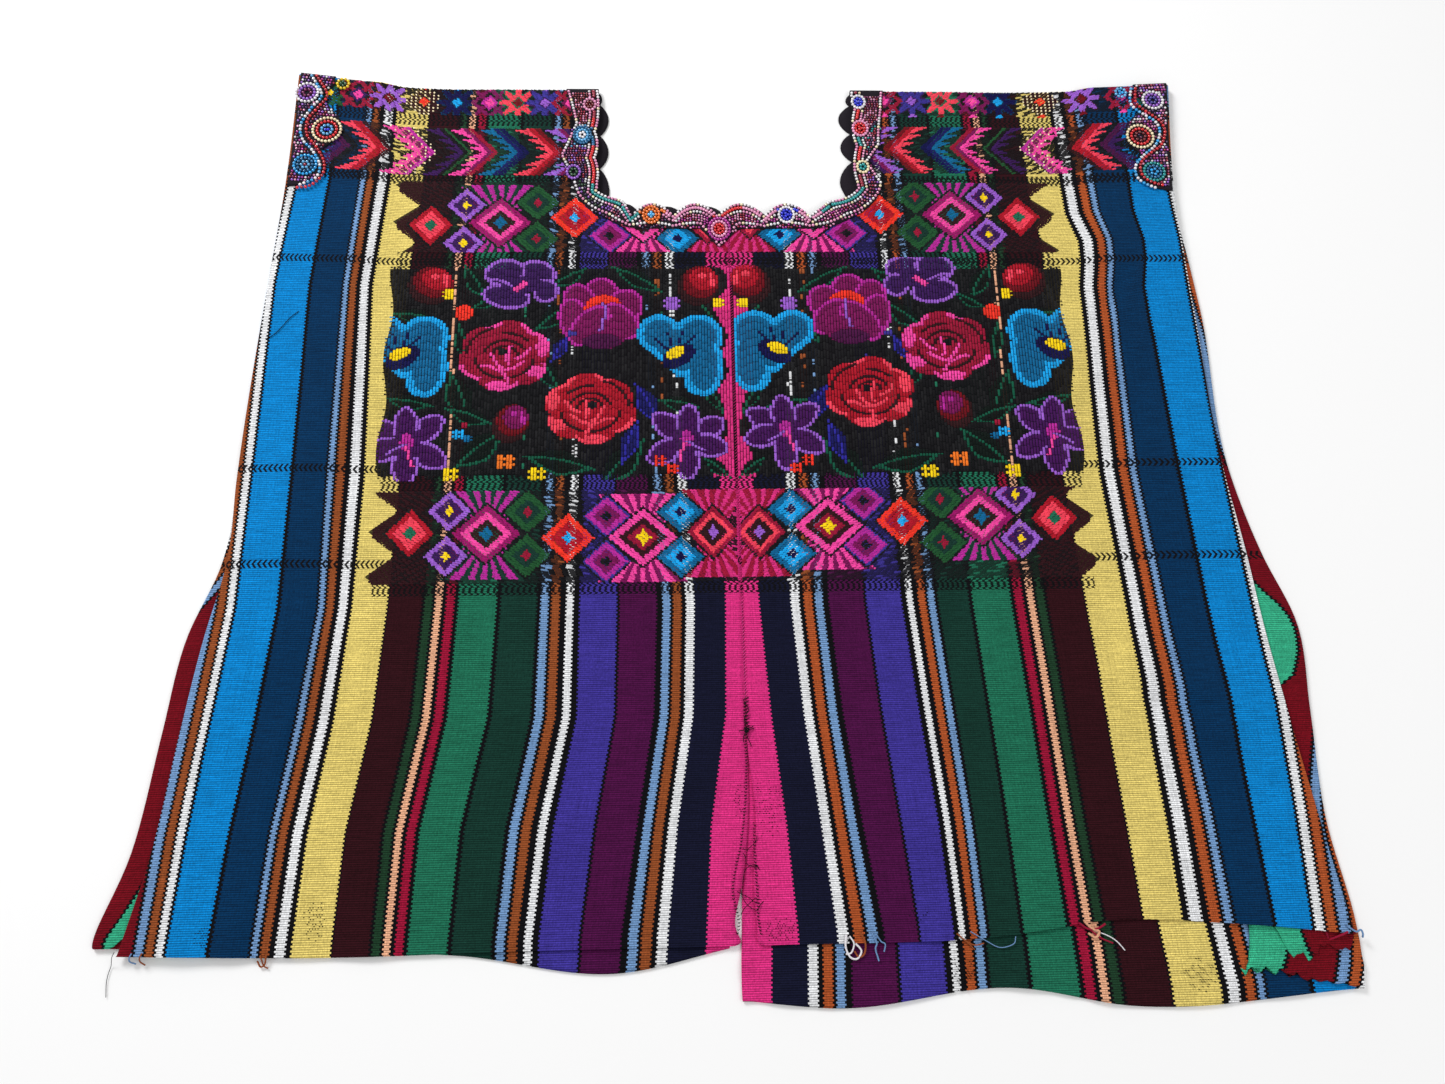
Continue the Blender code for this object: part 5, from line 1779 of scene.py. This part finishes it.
def make_loose_threads(material):
    """Warp ends that have worked loose at the hems, and dark dots where the weave is pulled open."""
    random = np.random.default_rng(9)
    threads = []
    for side, colour, radius, places in LOOSE_YARN:
        spots = smooth_curve(np.array(places), 6)
        hem = hem_down(side, "front", spots[:, 0])
        over = np.clip((spots[:, 1] - hem) / 6, 0, 1)
        low = 2.4 if side > 0 else 0.6
        top = front_top(side, spots[:, 0], np.minimum(spots[:, 1], hem))
        z = (top + 0.4) * (1 - over) + low * over + radius
        threads.append((in_frame(side, *spots.T, z), radius, colour))
    for side, across, down, wide, tall, share in SPECKLES:
        for row in np.arange(down - tall, down + tall, RIB_PITCH):
            for place in np.arange(across - wide, across + wide, 2 * THREAD_PITCH):
                off = ((place - across) / wide) ** 2 + ((row - down) / tall) ** 2
                if off > 1 or random.random() > share * (1.2 - off):
                    continue
                spot = place + THREAD_PITCH * (round(row / RIB_PITCH) % 2)
                ends = (spot - DOT_HALF, spot + DOT_HALF)
                if row < float(hem_down(side, "front", spot)) - 2:
                    path = on_front_path(side, [(end, row) for end in ends], 0)
                else:
                    path = [(SEAM_X + side * end, SHOULDER_Y - row, 2.2) for end in ends]
                threads.append((path, 0.3, "black"))
    return thread_mesh("loose_threads", threads, material)


# Stage, light and camera

FLOOR_HALF = 3000
SKY_STRENGTH = 0.56
# Lamps: name, place and size in metres, power in watts.
LAMPS = (("key", (-1.3, 1.5, 1.5), 0.8, 44), ("fill", (1.4, -1, 1.8), 1.4, 12))


def make_stage():
    """A plain pale floor."""
    material = Nodes("floor").finish((0.93, 0.93, 0.93, 1), 0.9, {})
    points = [(x * FLOOR_HALF, y * FLOOR_HALF, -0.3) for x, y in ((-1, -1), (1, -1), (1, 1), (-1, 1))]
    make_mesh("floor", points, [(0, 1, 2, 3)], material, smooth=False)


def make_area_light(name, place, size, power):
    data = bpy.data.lights.new(name, "AREA")
    data.shape, data.size, data.energy = "SQUARE", size, power
    light = bpy.data.objects.new(name, data)
    light.location = place
    light.rotation_euler = (-light.location).to_track_quat("-Z", "Y").to_euler()
    bpy.context.scene.collection.objects.link(light)


def make_lights():
    """Even light from a pale sky, and one soft lamp up and to the left for the relief."""
    world = bpy.data.worlds.new("sky")
    world.use_nodes = True
    sky = world.node_tree.nodes["Background"].inputs
    sky["Color"].default_value = (1, 1, 1, 1)
    sky["Strength"].default_value = SKY_STRENGTH
    bpy.context.scene.world = world
    for lamp in LAMPS:
        make_area_light(*lamp)
    bpy.context.scene.view_settings.view_transform = "Standard"


def make_camera():
    """The camera at the photograph's place and angle."""
    data = bpy.data.cameras.new("camera")
    data.sensor_fit = "HORIZONTAL"
    data.sensor_width = SENSOR_WIDTH
    data.lens = SENSOR_WIDTH * FOCAL_PIXELS / IMAGE_WIDTH
    camera = bpy.data.objects.new("camera", data)
    right = np.array([math.cos(CAMERA_HEADING), math.sin(CAMERA_HEADING), 0])
    ahead = np.array([-math.sin(CAMERA_HEADING), math.cos(CAMERA_HEADING), 0])
    up = ahead * math.cos(CAMERA_TILT) + np.array([0, 0, math.sin(CAMERA_TILT)])
    back = -ahead * math.sin(CAMERA_TILT) + np.array([0, 0, math.cos(CAMERA_TILT)])
    rolled_right = math.cos(CAMERA_ROLL) * right + math.sin(CAMERA_ROLL) * up
    rolled_up = math.cos(CAMERA_ROLL) * up - math.sin(CAMERA_ROLL) * right
    turn = Matrix(np.stack([rolled_right, rolled_up, back], axis=1).tolist())
    camera.matrix_world = Matrix.Translation([value * MM for value in CAMERA_PLACE]) @ turn.to_4x4()
    bpy.context.scene.collection.objects.link(camera)
    bpy.context.scene.camera = camera


def main():
    make_camera()
    make_stage()
    make_lights()
    yarn = yarn_material("brocade_yarn")
    felt = felt_material("black_felt")
    glass = bead_material("glass_beads")
    for name, side in SIDES.items():
        cloth = woven_material(f"woven_cloth_{name}", side, linear("brown") * BROWN_TINTS[side])
        panel = make_panel(f"woven_{name}", side, cloth)
        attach(panel, "root")
        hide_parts(f"panel_{name}")
        weaving = make_brocade(side, name, yarn)
        for piece in weaving:
            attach(piece, "root")
    neck = make_neck_felt(felt)
    beads = make_neck_beads(glass)
    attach(neck, "root")
    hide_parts("neck_trim")
    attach(beads, "root")
    for threads in (make_seam(yarn), make_loose_threads(yarn)):
        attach(threads, "root")
    for name, side in SIDES.items():
        strip = make_armhole_felt(f"armhole_felt_{name}", side, felt)
        beads = make_armhole_beads(f"armhole_beads_{name}", side, glass)
        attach(strip, "root")
        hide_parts(f"armhole_trim_{name}")
        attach(beads, "root")


main()
